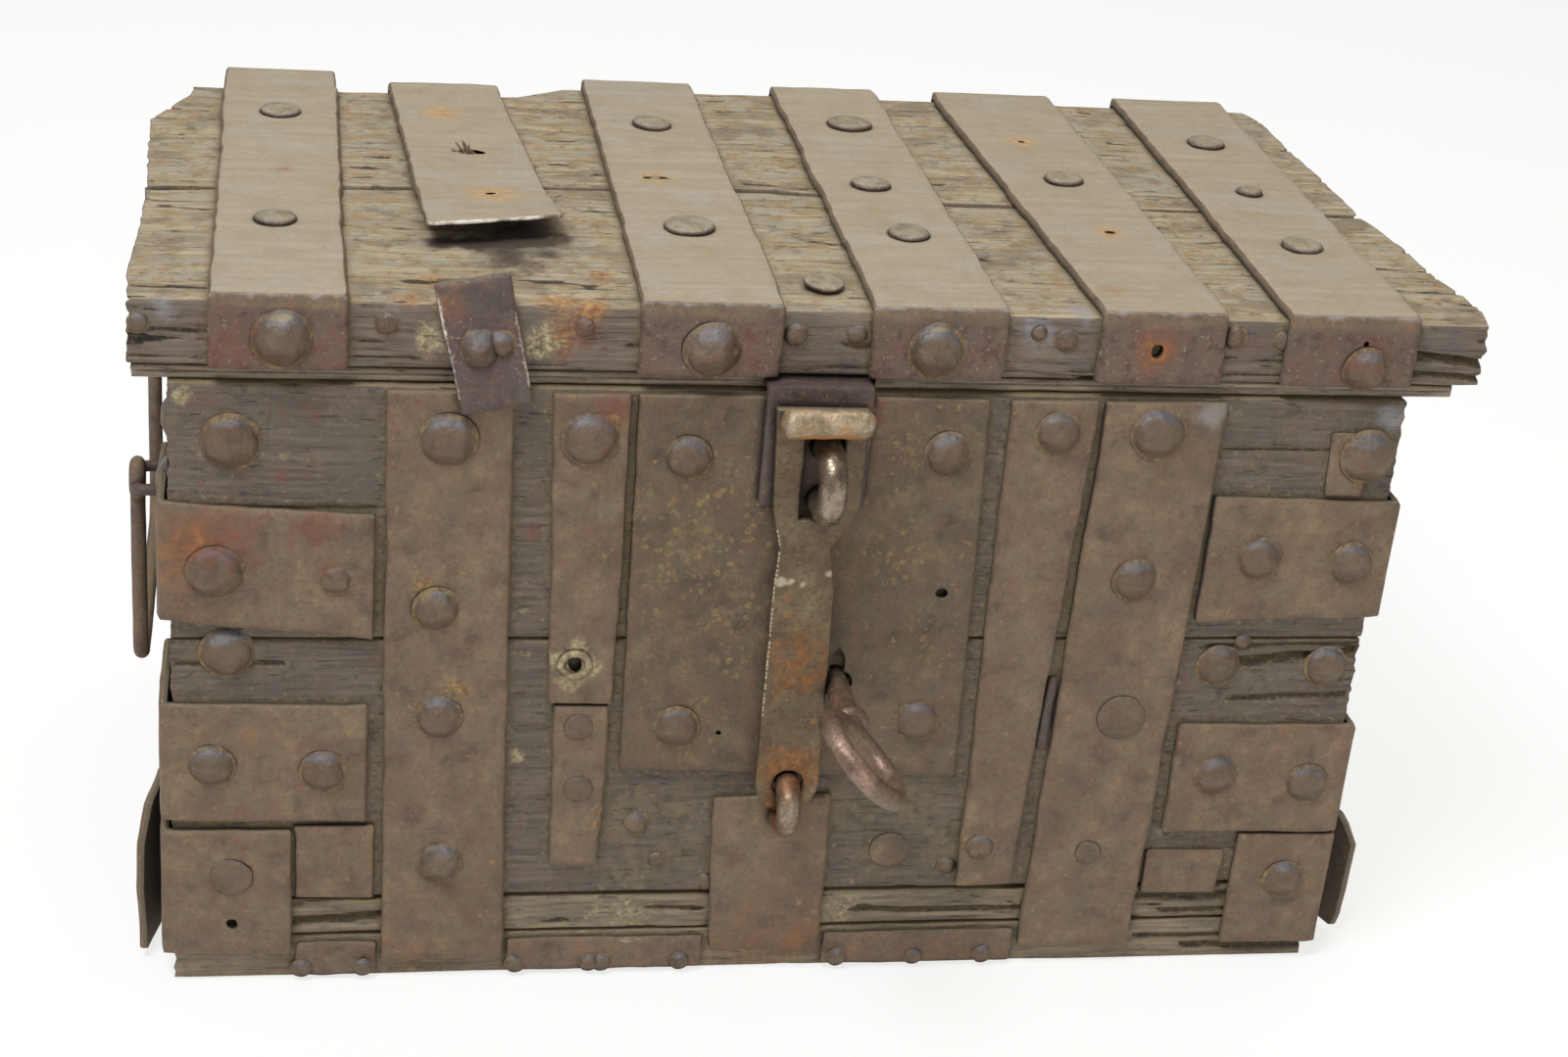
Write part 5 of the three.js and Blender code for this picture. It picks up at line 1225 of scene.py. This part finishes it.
# Nailed strips along the foot, and side plates that splay from the wood
footStrip = {"thick": 1.6, "low": 0.9, "high": 14.4, "nailZ": 4.5, "nailHeight": 2.0}
baseStrips = {
    "base_strip_1": {"span": (0.1025, 0.17), "nails": (0.107, 0.1585)},
    "base_strip_2": {"span": (0.28, 0.449), "nails": (0.2875, 0.351, 0.362, 0.4295)},
    "base_strip_3": {"span": (0.5555, 0.7255), "nails": (0.5685, 0.637, 0.6995)},
}
for number, (name, place) in enumerate(baseStrips.items()):
    (a, b), seed = [onFrontX(s) for s in place["span"]], 660 + 20 * number
    rows = [((a, ironBack, z), (b, ironBack, z), (0, -footStrip["thick"], 0))
            for z in (footStrip["high"], footStrip["low"])]
    parts = [sheet(rows, 1.8, 0.5, (0.9, 1.2), 0.4, seed=seed)]
    for k, x in enumerate(place["nails"]):
        spot = (onFrontX(x), ironBack - footStrip["thick"], footStrip["nailZ"])
        parts.append(nailHead(spot, forward, nailSizes["tiny"], footStrip["nailHeight"], seed=seed + k))
    addPiece(name + "_forged", parts, "chest_body", [rustyFinish, nailFinish], [name])

sidePlates = {
    "side_plate_left": {"side": -1, "depth": (0.055, 0.21), "height": (0.014, 0.13, 0.21, 0.285),
                        "spread": (0.038, 0.042, 0.039, 0.026)},
    "side_plate_right": {"side": 1, "depth": (0.055, 0.2), "height": (0.016, 0.04, 0.175, 0.215, 0.243),
                         "spread": (0.063, 0.07, 0.075, 0.056, 0.037)},
}
for number, (name, place) in enumerate(sidePlates.items()):
    way, (near, far) = place["side"], [onLidY(s) for s in place["depth"]]
    face = way * (box["right"] + iron["gap"])
    rows = []
    for share, spread in zip(place["height"], place["spread"]):
        z = onFrontZ(share)
        rows.append(((face + way * spread * box["top"], near, z), (face, far, z),
                     (way * iron["strap"], 0, 0)))
    parts = [sheet(rows, wobble=0.9, torn=(1.2, 0.9), seed=740 + number)]
    addPiece(name + "_forged", parts, "chest_body", [strapFinish], [name])

# Hinge leaves down the back
hinged = [place for place in lidStraps.values() if place["hinged"]]
for number, place in enumerate(hinged):
    low, high = (onLidX(s) for s in place["back"])
    far, seed = box["back"] + iron["gap"], 760 + 20 * number
    top = hinge["z"] - hinge["knuckle"] - hinge["relief"]
    rows = [((low, far, z), (high, far, z), (0, iron["strap"], 0)) for z in (top, onFrontZ(0.04))]
    parts = [sheet(rows, 3.0, 0.7, (0.2, 0.8), seed=seed)]
    for span in knuckleSpans(low, high)[1]:
        parts += knuckle(*span, False)
    for k, z in enumerate((0.86, 0.5, 0.16)):
        spot = ((low + high) / 2, far + iron["strap"], onFrontZ(z))
        parts.append(nailHead(spot, backward, nailSizes["medium"], seed=seed + k))
    name = f"back_strap_{number + 1}"
    addPiece(name + "_forged", parts, "chest_body", [strapFinish, nailFinish], [name])
print("body irons forged")

# Tongue, staples and hasp
addPiece("lid_tongue_worn", [worn("lid_tongue", 0.9, 3, 0.3, 801)], "lid", [scaleFinish],
         ["lid_tongue"])
staples = {
    "upper_staple": {"x": 4.6, "z": 190.0, "arc": 9.5, "bend": -125.0, "root": -115.4, "rod": 4.5,
                     "body": "lid", "points": (5, 20), "sides": 22, "seed": 811},
    "lower_staple": {"x": 2.2, "z": 70.952, "arc": 7.65, "bend": -119.2, "root": -102.5, "rod": 4.0,
                     "body": "chest_body", "points": (6, 18), "sides": 20, "seed": 821},
}
for name, staple in staples.items():
    x, z, root, bend, reach = (staple[part] for part in ("x", "z", "root", "bend", "arc"))
    straight, steps = staple["points"]
    path = [(x, y, z + reach) for y in np.linspace(root, bend, straight)[:-1]]
    path += arc((x, bend, z), (0, 0, reach), (0, -reach, 0), steps=steps)
    path += [(x, y, z - reach) for y in np.linspace(bend, root, straight)[1:]]
    bar = rod(path, staple["rod"], staple["sides"], dents=0.12, seed=staple["seed"])
    addPiece(name + "_rubbed", [bar], staple["body"], [stapleFinish], [name], sharp=70)

# The hasp's head is squashed out of the way of a rounded thumb bar, and one edge of its shank is rubbed
# bright, with a painted glint along it
thumb = {
    "y": -130.0, "z": 211.8, "radius": 4.6, "from": -12.5, "to": 17.2,
    "core": (-10.5, 14.0), "around": 1.8, "shrink": 0.66, "flatten": 0.25, "bright": (104, 170),
}
blank = worn("hasp", 0.55, 5, 0.12, 831)
spots = blank["points"]
axis = np.array([thumb["y"], thumb["z"]])
core = np.linalg.norm(spots[:, 1:] - axis, axis=1) < thumb["radius"] + thumb["around"]
spots[core, 0] = np.clip(spots[core, 0], *thumb["core"])
spots[core, 1:] = axis + (spots[core, 1:] - axis) * thumb["shrink"]
high = spots[:, 2] > thumb["z"]
spots[high, 2] = thumb["z"] + (spots[high, 2] - thumb["z"]) * thumb["flatten"]
share = np.linspace(0, 1, 34)
path = [(thumb["from"] + (thumb["to"] - thumb["from"]) * t, thumb["y"], thumb["z"]) for t in share]
inward = np.minimum(share * 1.6, 1 - share) * (thumb["to"] - thumb["from"])
girth = thumb["radius"] * np.sqrt(1 - (1 - np.clip(inward / thumb["radius"], 0.03, 1)) ** 2)
for z in np.linspace(*thumb["bright"], 44):
    near = spots[np.abs(spots[:, 2] - z) < 1]
    stains["bare"].append((*near[np.argmin(near[:, 0] + near[:, 1])], 1.3, 1.15))
addPiece("hasp_rubbed", [blank, rod(path, girth, 22, finish=1, dents=0.2, seed=835)], "hasp",
         [rubbedFinish, barFinish], ["hasp"])

# Key: round shank, a collar like a bead, and a ring for a bow that leans at 45 degrees
key = {
    "shank": 3.9, "tip": -75.5, "collar": 6.0, "collarY": -140.2, "beadHalf": 3.0, "beadRound": 3.6,
    "bow": 15.5, "bowRod": 3.6, "bowY": -163.0, "lean": 135,
    "bit": {"from": 0.5, "to": 10, "half": 1.5, "near": -82.5, "far": -77.5},
}
lean = math.radians(key["lean"])
path = [(lock["x"], y, lock["z"]) for y in np.linspace(key["bowY"] + key["bow"], key["tip"], 22)]
parts = [rod(path, key["shank"], 18, dents=0.12, seed=841)]
bead = np.linspace(-key["beadHalf"], key["beadHalf"], 9)
path = [(lock["x"], key["collarY"] + y, lock["z"]) for y in bead]
girth = key["collar"] * np.sqrt(np.clip(1 - (bead / key["beadRound"]) ** 2, 0.2, 1))
parts.append(rod(path, girth, 20, dents=0.1, seed=843))
ring = arc((lock["x"], key["bowY"], lock["z"]), (key["bow"] * math.cos(lean), 0, key["bow"] * math.sin(lean)),
           (0, key["bow"], 0), fullTurn, 49)[:-1]
parts.append(rod(ring, key["bowRod"], 14, closed=True, dents=0.12, seed=845))
bit = [np.array([lock["x"] + r * math.cos(lean), 0, lock["z"] + r * math.sin(lean)])
       for r in (key["bit"]["from"], key["bit"]["to"])]
wide = np.array([math.sin(lean), 0, -math.cos(lean)]) * key["bit"]["half"]
corners = [spot + w * wide + np.array([0, y, 0])
           for y in (key["bit"]["near"], key["bit"]["far"]) for spot in bit for w in (-1, 1)]
faces = [[0, 1, 3, 2], [4, 6, 7, 5], [0, 4, 5, 1], [2, 3, 7, 6], [0, 2, 6, 4], [1, 5, 7, 3]]
parts.append({"points": np.array(corners), "faces": faces})
addPiece("key_rubbed", parts, "key", [keyFinish], ["key"], sharp=60)

# End handles on their staples: half the distance between the eyes, the drop to the grip, and how far out they
# stand
grip = {
    "half": 58, "drop": 68, "rod": 2.5, "z": 157.932, "out": 11, "eye": 4.6, "bend": 11,
    "pin": 1.9, "pinHalf": 9, "pinBend": 3, "bite": 9,
}
quarter = math.pi / 2
for way, word in ((-1, "left"), (1, "right")):
    x, z, half = way * (box["right"] + grip["out"]), grip["z"], grip["half"]
    root, turn = way * (box["right"] - grip["bite"]), grip["pinBend"]
    for end, spot in (("front", -half), ("back", half)):
        near, far = spot - grip["pinHalf"], spot + grip["pinHalf"]
        path = [(p, near, z) for p in np.linspace(root, x - way * turn, 5)[:-1]]
        path += arc((x - way * turn, near + turn, z), (0, -turn, 0), (way * turn, 0, 0), quarter, 6)
        path += arc((x - way * turn, far - turn, z), (way * turn, 0, 0), (0, turn, 0), quarter, 6)
        path += [(p, far, z) for p in np.linspace(x - way * turn, root, 5)[1:]]
        name = f"{word}_handle_staple_{end}"
        addPiece(name + "_forged", [rod(path, grip["pin"], 12, dents=0.1, seed=860)], "chest_body",
                 [scaleFinish], [name])
    low, bend = z - grip["drop"], grip["bend"]
    path = [(x, -half, p) for p in np.linspace(z - grip["eye"], low + bend, 9)[:-1]]
    path += arc((x, -half + bend, low + bend), (0, -bend, 0), (0, 0, -bend), quarter, 9)
    path += [(x, p, low) for p in np.linspace(-half + bend, half - bend, 14)[1:-1]]
    path += arc((x, half - bend, low + bend), (0, 0, -bend), (0, bend, 0), quarter, 9)
    path += [(x, half, p) for p in np.linspace(low + bend, z - grip["eye"], 9)[1:]]
    parts = [rod(path, grip["rod"], 14, dents=0.15, seed=870)]
    for spot in (-half, half):
        eye = arc((x, spot, z), (0, grip["eye"], 0), (0, 0, grip["eye"]), fullTurn, 29)[:-1]
        parts.append(rod(eye, grip["rod"], 12, closed=True, dents=0.1, seed=880))
    addPiece(f"{word}_handle_forged", parts, f"{word}_handle", [rustyFinish],
             [f"{word}_handle"], sharp=70)
print("fittings made")

# Lid planks: their joint, worn outlines and splits, as places on the lid by share of its width and depth
lidPlanks = {
    "joint": [(0, 0.44), (0.19, 0.47), (0.31, 0.49), (0.48, 0.505), (0.62, 0.468), (0.977, 0.464)],
    "rearEdge": [(0, 0.945), (0.305, 0.945), (0.345, 1), (1, 1)],
    "frontLeft": [(0.002, 0), (0, 0.1), (0.003, 0.25), (0.004, 0.47)],
    "frontRight": [(0.995, 0), (0.999, 0.06), (0.991, 0.2), (0.986, 0.34), (0.977, 0.47)],
    "rearLeft": [(0.003, 0.47), (0.002, 0.6), (0.0, 0.8), (0.03, 0.945), (0.03, 1)],
    "rearRight": [(0.978, 0.47), (0.978, 0.6), (0.975, 0.8), (0.972, 0.93), (0.965, 1)],
    "halfGap": 0.5, "wornGap": 0.8,
}
jointLine, rearFar = ([(onLidX(x), onLidY(y)) for x, y in lidPlanks[line]] for line in ("joint", "rearEdge"))
frontStarts, frontEnds, rearStarts, rearEnds = (
    [(onLidY(y), onLidX(x)) for x, y in lidPlanks[line]]
    for line in ("frontLeft", "frontRight", "rearLeft", "rearRight"))
jointY = jointLine[1][1]
frontSplits = [
    ("-u", [(176, 230.5), (200, 229), (222, 227.5)], 1.1, 5.0),
    ("-u", [(190, 223.5), (222, 222.5)], 0.8, 3.0), ("-u", [(-208, 231), (-170, 230)], 0.6, 1.6),
    ("-u", [(-60, 228.5), (-30, 228)], 0.6, 1.5), ("-u", [(8, 229.5), (48, 229)], 0.8, 1.8),
    ("-u", [(-208, 222.5), (-120, 223)], 0.5, 1.2), ("-u", [(-95, 221.5), (190, 222)], 0.5, 1.0),
    ("+v", [(-208, -100), (-180, -101)], 0.8, 2.0), ("+v", [(-145, -44), (-120, -45)], 0.7, 1.5),
    ("+v", [(130, -60), (175, -58)], 0.7, 1.4),
    ("+v", [(10, -98), (60, -97)], 0.7, 1.6), ("+v", [(180, -80), (222, -82)], 0.9, 2.5),
    ("+v", [(190, -60), (222, -62)], 0.8, 2.2),
    ("+v", [(-70, -103), (-20, -102)], 0.6, 1.4), ("+v", [(60, -86), (86, -86)], 0.6, 1.2),
    ("+v", [(-208, -66), (-184, -67)], 0.7, 1.6),
]
rearSplits = [
    ("+v", [(-208, -6), (-183, -5)], 0.8, 2.0), ("+v", [(-208, 38), (-184, 40)], 0.8, 1.8),
    ("+v", [(-144, 34), (-124, 33)], 0.7, 1.4),
    ("+v", [(-80, 58), (-55, 60)], 0.7, 1.4), ("+v", [(-8, 52), (16, 51)], 0.7, 1.6),
    ("+v", [(60, 20), (86, 19)], 0.7, 1.4),
    ("+v", [(128, 8), (154, 7)], 0.8, 1.8), ("+v", [(190, 30), (212, 29)], 0.8, 2.0),
    ("+v", [(190, 62), (210, 64)], 0.8, 1.8),
    ("+v", [(-208, 72), (-186, 70)], 0.9, 2.2), ("+v", [(-80, 84), (-56, 83)], 0.8, 1.8),
    ("+v", [(60, 78), (84, 80)], 0.8, 1.6),
]
halfGap, wornGap = lidPlanks["halfGap"], lidPlanks["wornGap"]
parts = [plank((lidBox["left"], box["front"], lidBox["under"]),
               (lidBox["right"], jointY - halfGap, lidBox["top"]),
               fineSides=("-u", "+v"), corner=2.4, relief=0.55, checks=1.0, starts=frontStarts,
               ends=frontEnds, splits=frontSplits, ragged=3.0, seed=901,
               farSide=[(x, y - wornGap) for x, y in jointLine])]
addPiece("lid_plank_front_worn", parts, "lid", [topOak], ["lid_plank_front"])
parts = [plank((lidBox["left"], jointY + halfGap, lidBox["under"]),
               (lidBox["right"], box["back"], lidBox["top"]),
               fine=1.05, fineSides=("+v",), corner=2.2, relief=0.55, checks=1.1, starts=rearStarts,
               ends=rearEnds, splits=rearSplits, ragged=3.2, seed=921, farSide=rearFar,
               nearSide=[(x, y + wornGap) for x, y in jointLine])]
addPiece("lid_plank_rear_worn", parts, "lid", [topOak], ["lid_plank_rear"])

# Thin lining boards under the planks, each with a slit along its front edge
lining = {
    "spans": {"lid_lining_left": (onLidX(0.0058), -13.7), "lid_lining_right": (19.5, onLidX(0.976))},
    "halfDepth": 108.5, "low": 214.3, "high": 218.7, "slit": (216.4, 216.6),
}
for number, (name, (a, b)) in enumerate(lining["spans"].items()):
    slit = list(zip((a, b), lining["slit"]))
    parts = [plank((a, -lining["halfDepth"], lining["low"]), (b, lining["halfDepth"], lining["high"]),
                   spacing=3.2, fine=0.9, coarse=9, corner=1.0, relief=0.25, checks=0.25, ragged=1.2,
                   splits=[("-u", slit, 0.35, 0.7)], seed=940 + number)]
    addPiece(name + "_worn", parts, "lid", [liningOak], [name])

# Body boards: two corners, the kind of board, how deep its grain and checks go, how round it is worn, and its
# splits
boardKinds = {
    "base": {"grain": "x", "fine": "-u", "slot": "base_wood", "finish": baseOak, "close": True},
    "front": {"grain": "x", "fine": "-u", "slot": "body_wood", "finish": frontOak, "close": True},
    "back": {"grain": "x", "fine": "+u", "slot": "body_wood", "finish": frontOak, "close": False},
    "left": {"grain": "y", "fine": "-u", "slot": "body_wood", "finish": endOak, "close": False},
    "right": {"grain": "y", "fine": "+u", "slot": "body_wood", "finish": endOak, "close": False},
}
boards = {
    "base_board": {
        "low": (-196, -111, 0), "high": (196, 111, 16), "kind": "base", "worn": (0.5, 0.5, 0.7),
        "splits": [("-u", [(132, 9), (196, 8.4)], 0.9, 2.0), ("-u", [(150, 5), (196, 4)], 1.2, 2.4)],
    },
    "front_board_lower": {
        "low": (-196, -111, 16.3), "high": (196, -91, 30.3), "kind": "base", "worn": (1.1, 0.9, 1.2),
        "splits": [("-u", [(-196, 22), (-150, 21.5), (-124, 23)], 1.3, 3.5),
                   ("-u", [(-40, 24), (-20, 23.5)], 0.8, 2.0), ("-u", [(30, 22), (95, 21.5)], 0.9, 2.4),
                   ("-u", [(130, 26), (196, 25)], 1.2, 3.0), ("-u", [(140, 19.5), (190, 19)], 0.8, 2.2)],
    },
    "front_board_middle": {
        "low": (-196, -111, 30.9), "high": (196, -91, 127.0), "kind": "front", "worn": (0.3, 0.35, 1.5),
        "splits": [("-u", [(150, 118), (196, 122)], 1.4, 4.5), ("-u", [(152, 104), (196, 106)], 0.9, 2.5),
                   ("-u", [(-196, 118), (-160, 118.6)], 0.8, 2.0),
                   ("-u", [(140, 124), (196, 125.5)], 0.8, 2.5)],
        "holes": [((lock["x"], -101, lock["z"]), forward, 5.2, 5.2, 14)],
    },
    "front_board_upper": {
        "low": (-196, -111, 127.6), "high": (196, -91, 214), "kind": "front", "worn": (0.3, 0.35, 1.2),
        "splits": [("-u", [(-190, 172), (-130, 173)], 0.7, 1.4), ("-u", [(130, 196), (190, 197)], 0.6, 1.2)],
    },
    "back_board_lower": {
        "low": (-196, 91, 16.3), "high": (196, 111, 127.0), "kind": "back", "worn": (0.5, 0.8, 1.5),
    },
    "back_board_upper": {
        "low": (-196, 91, 127.6), "high": (196, 111, 214), "kind": "back", "worn": (0.5, 0.8, 1.5),
    },
    "end_board_left": {
        "low": (-196, -90.7, 16.3), "high": (-176, 90.7, 214), "kind": "left", "worn": (0.5, 0.8, 1.2),
    },
    "end_board_right": {
        "low": (176, -90.7, 16.3), "high": (196, 90.7, 214), "kind": "right", "worn": (0.5, 0.8, 1.2),
    },
}
for number, (name, board) in enumerate(boards.items()):
    kind, (relief, checks, corner) = boardKinds[board["kind"]], board["worn"]
    spacing, fine, ragged = (3.0, 1.1, 2.0) if kind["close"] else (5.0, 2.4, 0.8)
    parts = [plank(board["low"], board["high"], kind["grain"], spacing, fine, 9.0, (kind["fine"],), corner,
                   relief, checks, splits=board.get("splits", ()), ragged=ragged, seed=960 + 20 * number)]
    addPiece(name + "_worn", parts, "chest_body", [kind["finish"]], [name],
             board.get("holes", ()))
print("boards made")

# A torn scrap of iron left in the gap between the fourth and fifth straps: ends, height and thickness of each
# row
gapScrap = [((88.6, 114), (91.6, 115), 1.2), ((87.2, 98), (91.2, 98), 2.0), ((87.4, 86), (90.6, 84.6), 0.9)]
rows = [((a[0], ironBack, a[1]), (b[0], ironBack, b[1]), (0, -thick, 0)) for a, b, thick in gapScrap]
addPiece("torn_scrap_in_gap", [sheet(rows, 1.0, 0.6, (1.4, 1.0), 0.4, seed=1190)], "chest_body",
         [scaleFinish])

# Loose nails in bare wood: two places in its face and the radius. The fifth of the front is hammered flat
looseNails = {
    "front": [
        (-176.4, 195.0, 8.3), (-178.1, 123.0, 7.8), (146.3, 117.6, 6.8), (184.2, 117.1, 6.8),
        (41.2, 46.6, 6.8), (-45.3, 58.4, 3.8), (153.5, 126.5, 2.4), (-38, 44, 2.6), (-100, 40, 2.2),
        (-20, 35, 3.0), (62, 40, 3.2),
    ],
    "lidEdge": [
        (-203, 233, 3.0), (-130.6, 234, 3.4), (-71.3, 234, 3.0), (-6.8, 233, 3.6), (12.2, 233.5, 3.0),
        (79, 233, 3.6), (70, 235, 2.4), (133.3, 235, 3.6), (149.8, 234, 3.2),
    ],
    "leftEnd": [(-85, 170, 7.5), (-50, 176, 7.5), (-82, 97, 7.5)],
}
parts = [nailHead((x, box["front"] - 0.1, z), forward, radius, 1.0 if k == 4 else None, flat=k == 4,
                  seed=1200 + k, finish=0) for k, (x, z, radius) in enumerate(looseNails["front"])]
addPiece("front_loose_nails", parts, "chest_body", [nailFinish])
parts = [nailHead((x, box["front"] + 0.2, z), forward, radius, 1.5, seed=1230 + k, finish=0)
         for k, (x, z, radius) in enumerate(looseNails["lidEdge"])]
parts.append(nailHead((4.3, -90.7, 241.6), (0.05, -0.12, 1), 6.6, 1.2, flat=True, seed=1250, finish=0,
                      lift=1.0))
parts.append(nailHead((-38, 1, strapTop - 1.5), upward, 2.6, 2.0, seed=1252, finish=0))
addPiece("lid_loose_nails", parts, "lid", [nailFinish])

# Hidden iron keeps its CAD shape with softened edges
hiddenIrons = {
    "lock_catch": scaleFinish, "lock_case": scaleFinish, "lock_bolt": rubbedFinish,
    "hinge_pin_1": scaleFinish, "hinge_pin_2": scaleFinish, "hinge_pin_3": scaleFinish,
}
for name, finish in hiddenIrons.items():
    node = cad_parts[name]
    node.data.materials.clear()
    node.data.materials.append(finish)
    bevel = node.modifiers.new("softened", "BEVEL")
    bevel.width = 0.35 * mm
    bevel.segments = 2
    bevel.limit_method = "ANGLE"

# Splinters that stand in the hole of the broken strap
splinters = {"place": (-98.2, 22.3, 240.5), "count": 9, "thick": (0.9, 0.2)}
random = np.random.default_rng(77)
parts = []
for k in range(splinters["count"]):
    x, y, z = splinters["place"]
    foot = np.array([x + random.uniform(-3.2, 3.2), y + random.uniform(-1.6, 1.6), z])
    tip = foot + [random.uniform(-6, 3), random.uniform(-1.5, 1.5), random.uniform(4.2, 7.4)]
    path = [foot + (tip - foot) * t for t in np.linspace(0, 1, 5)]
    parts.append(rod(path, np.linspace(*splinters["thick"], 5), 6, dents=0.2, seed=1300 + k))
addPiece("splinters_in_hole", parts, "lid", [topOak])
parts = [nailHead((box["left"] - 0.1, y, z), (-1, 0, 0), radius, seed=1270 + k, finish=0)
         for k, (y, z, radius) in enumerate(looseNails["leftEnd"])]
addPiece("left_end_nails", parts, "chest_body", [nailFinish])
shown = [thing.data for thing in bpy.data.objects if thing.type == "MESH" and not thing.hide_render]
print("pieces:", sum(len(mesh.polygons) for mesh in shown), "faces")

# White table: its glow is what the camera sees of it, and its paper takes the box's shadow. Half is in metres
stage = {"floor": "#fffffd", "glow": 0.76, "half": 6.0, "drop": 0.0002}


def flatWhite(name, code, glow):
    material = bpy.data.materials.new(name)
    tree = emptyTree(material)
    path = addNode(tree, "ShaderNodeLightPath")
    seen = addNode(tree, "ShaderNodeMath", {"operation": "MAXIMUM"},
                   {0: path.outputs["Is Camera Ray"], 1: path.outputs["Is Glossy Ray"]})
    share = addNode(tree, "ShaderNodeMath", {"operation": "MULTIPLY", 1: glow}, {0: seen.outputs[0]})
    paper = addNode(tree, "ShaderNodeBsdfDiffuse", {"Color": linear(code)})
    bright = addNode(tree, "ShaderNodeEmission", {"Color": linear(code), "Strength": 1.0})
    both = addNode(tree, "ShaderNodeMixShader", {},
                   {0: share.outputs[0], 1: paper.outputs[0], 2: bright.outputs[0]})
    addNode(tree, "ShaderNodeOutputMaterial", {}, {"Surface": both.outputs[0]})
    return material


half, level = stage["half"], -stage["drop"]
mesh = bpy.data.meshes.new("floor")
mesh.from_pydata([(x * half, y * half, level) for x, y in ((-1, -1), (1, -1), (1, 1), (-1, 1))], [],
                 [[0, 1, 2, 3]])
mesh.materials.append(flatWhite("white_table", stage["floor"], stage["glow"]))
plane = newObject("floor", mesh)

# The world lights the box evenly and looks white to the camera
studio = {"light": "#eef1f5", "strength": 0.36, "backdrop": "#fbfbf9"}
world = bpy.data.worlds.new("studio")
bpy.context.scene.world = world
tree = emptyTree(world)
path = addNode(tree, "ShaderNodeLightPath")
plain = addNode(tree, "ShaderNodeBackground",
                {"Color": linear(studio["light"]), "Strength": studio["strength"]})
white = addNode(tree, "ShaderNodeBackground", {"Color": linear(studio["backdrop"]), "Strength": 1.0})
both = addNode(tree, "ShaderNodeMixShader", {},
               {0: path.outputs["Is Camera Ray"], 1: plain.outputs[0], 2: white.outputs[0]})
addNode(tree, "ShaderNodeOutputWorld", {}, {"Surface": both.outputs[0]})

# Lamps over and before the box, in metres and watts, turned to a point at its middle
aim = (0, 0, 0.12)
lamps = {
    "key": {"place": (-0.6, -0.7, 1.7), "size": 0.6, "power": 24, "colour": "#fbfcff"},
    "top": {"place": (0.3, 0.5, 1.9), "size": 1.4, "power": 14, "colour": "#fffdf8"},
    "front": {"place": (0.5, -1.8, 0.8), "size": 1.2, "power": 6, "colour": "#fffaf2"},
}
for name, lamp in lamps.items():
    light = bpy.data.lights.new(name, "AREA")
    light.size = lamp["size"]
    light.energy = lamp["power"]
    light.color = linear(lamp["colour"])[:3]
    holder = newObject(name, light)
    holder.location = lamp["place"]
    holder.rotation_mode = "QUATERNION"
    holder.rotation_quaternion = (Vector(aim) - Vector(lamp["place"])).to_track_quat("-Z", "Y")

# Camera at the photograph's place
lens = {
    "place": (-0.15880, -0.87977, 0.54335), "length": 63.14, "sensor": 36.0, "nearest": 0.05,
    "right": (0.9842, -0.1560, 0.0838), "up": (-0.0066, 0.4406, 0.8977), "ahead": (0.1770, 0.8840, -0.4326),
}
camera = newObject("camera", bpy.data.cameras.new("camera"))
camera.data.lens = lens["length"]
camera.data.sensor_width = lens["sensor"]
camera.data.clip_start = lens["nearest"]
camera.rotation_mode = "QUATERNION"
right, up, ahead = (Vector(lens[way]) for way in ("right", "up", "ahead"))
camera.rotation_quaternion = Matrix((right, up, -ahead)).transposed().to_quaternion()
camera.location = lens["place"]
bpy.context.scene.camera = camera
bpy.context.scene.view_settings.view_transform = "Standard"
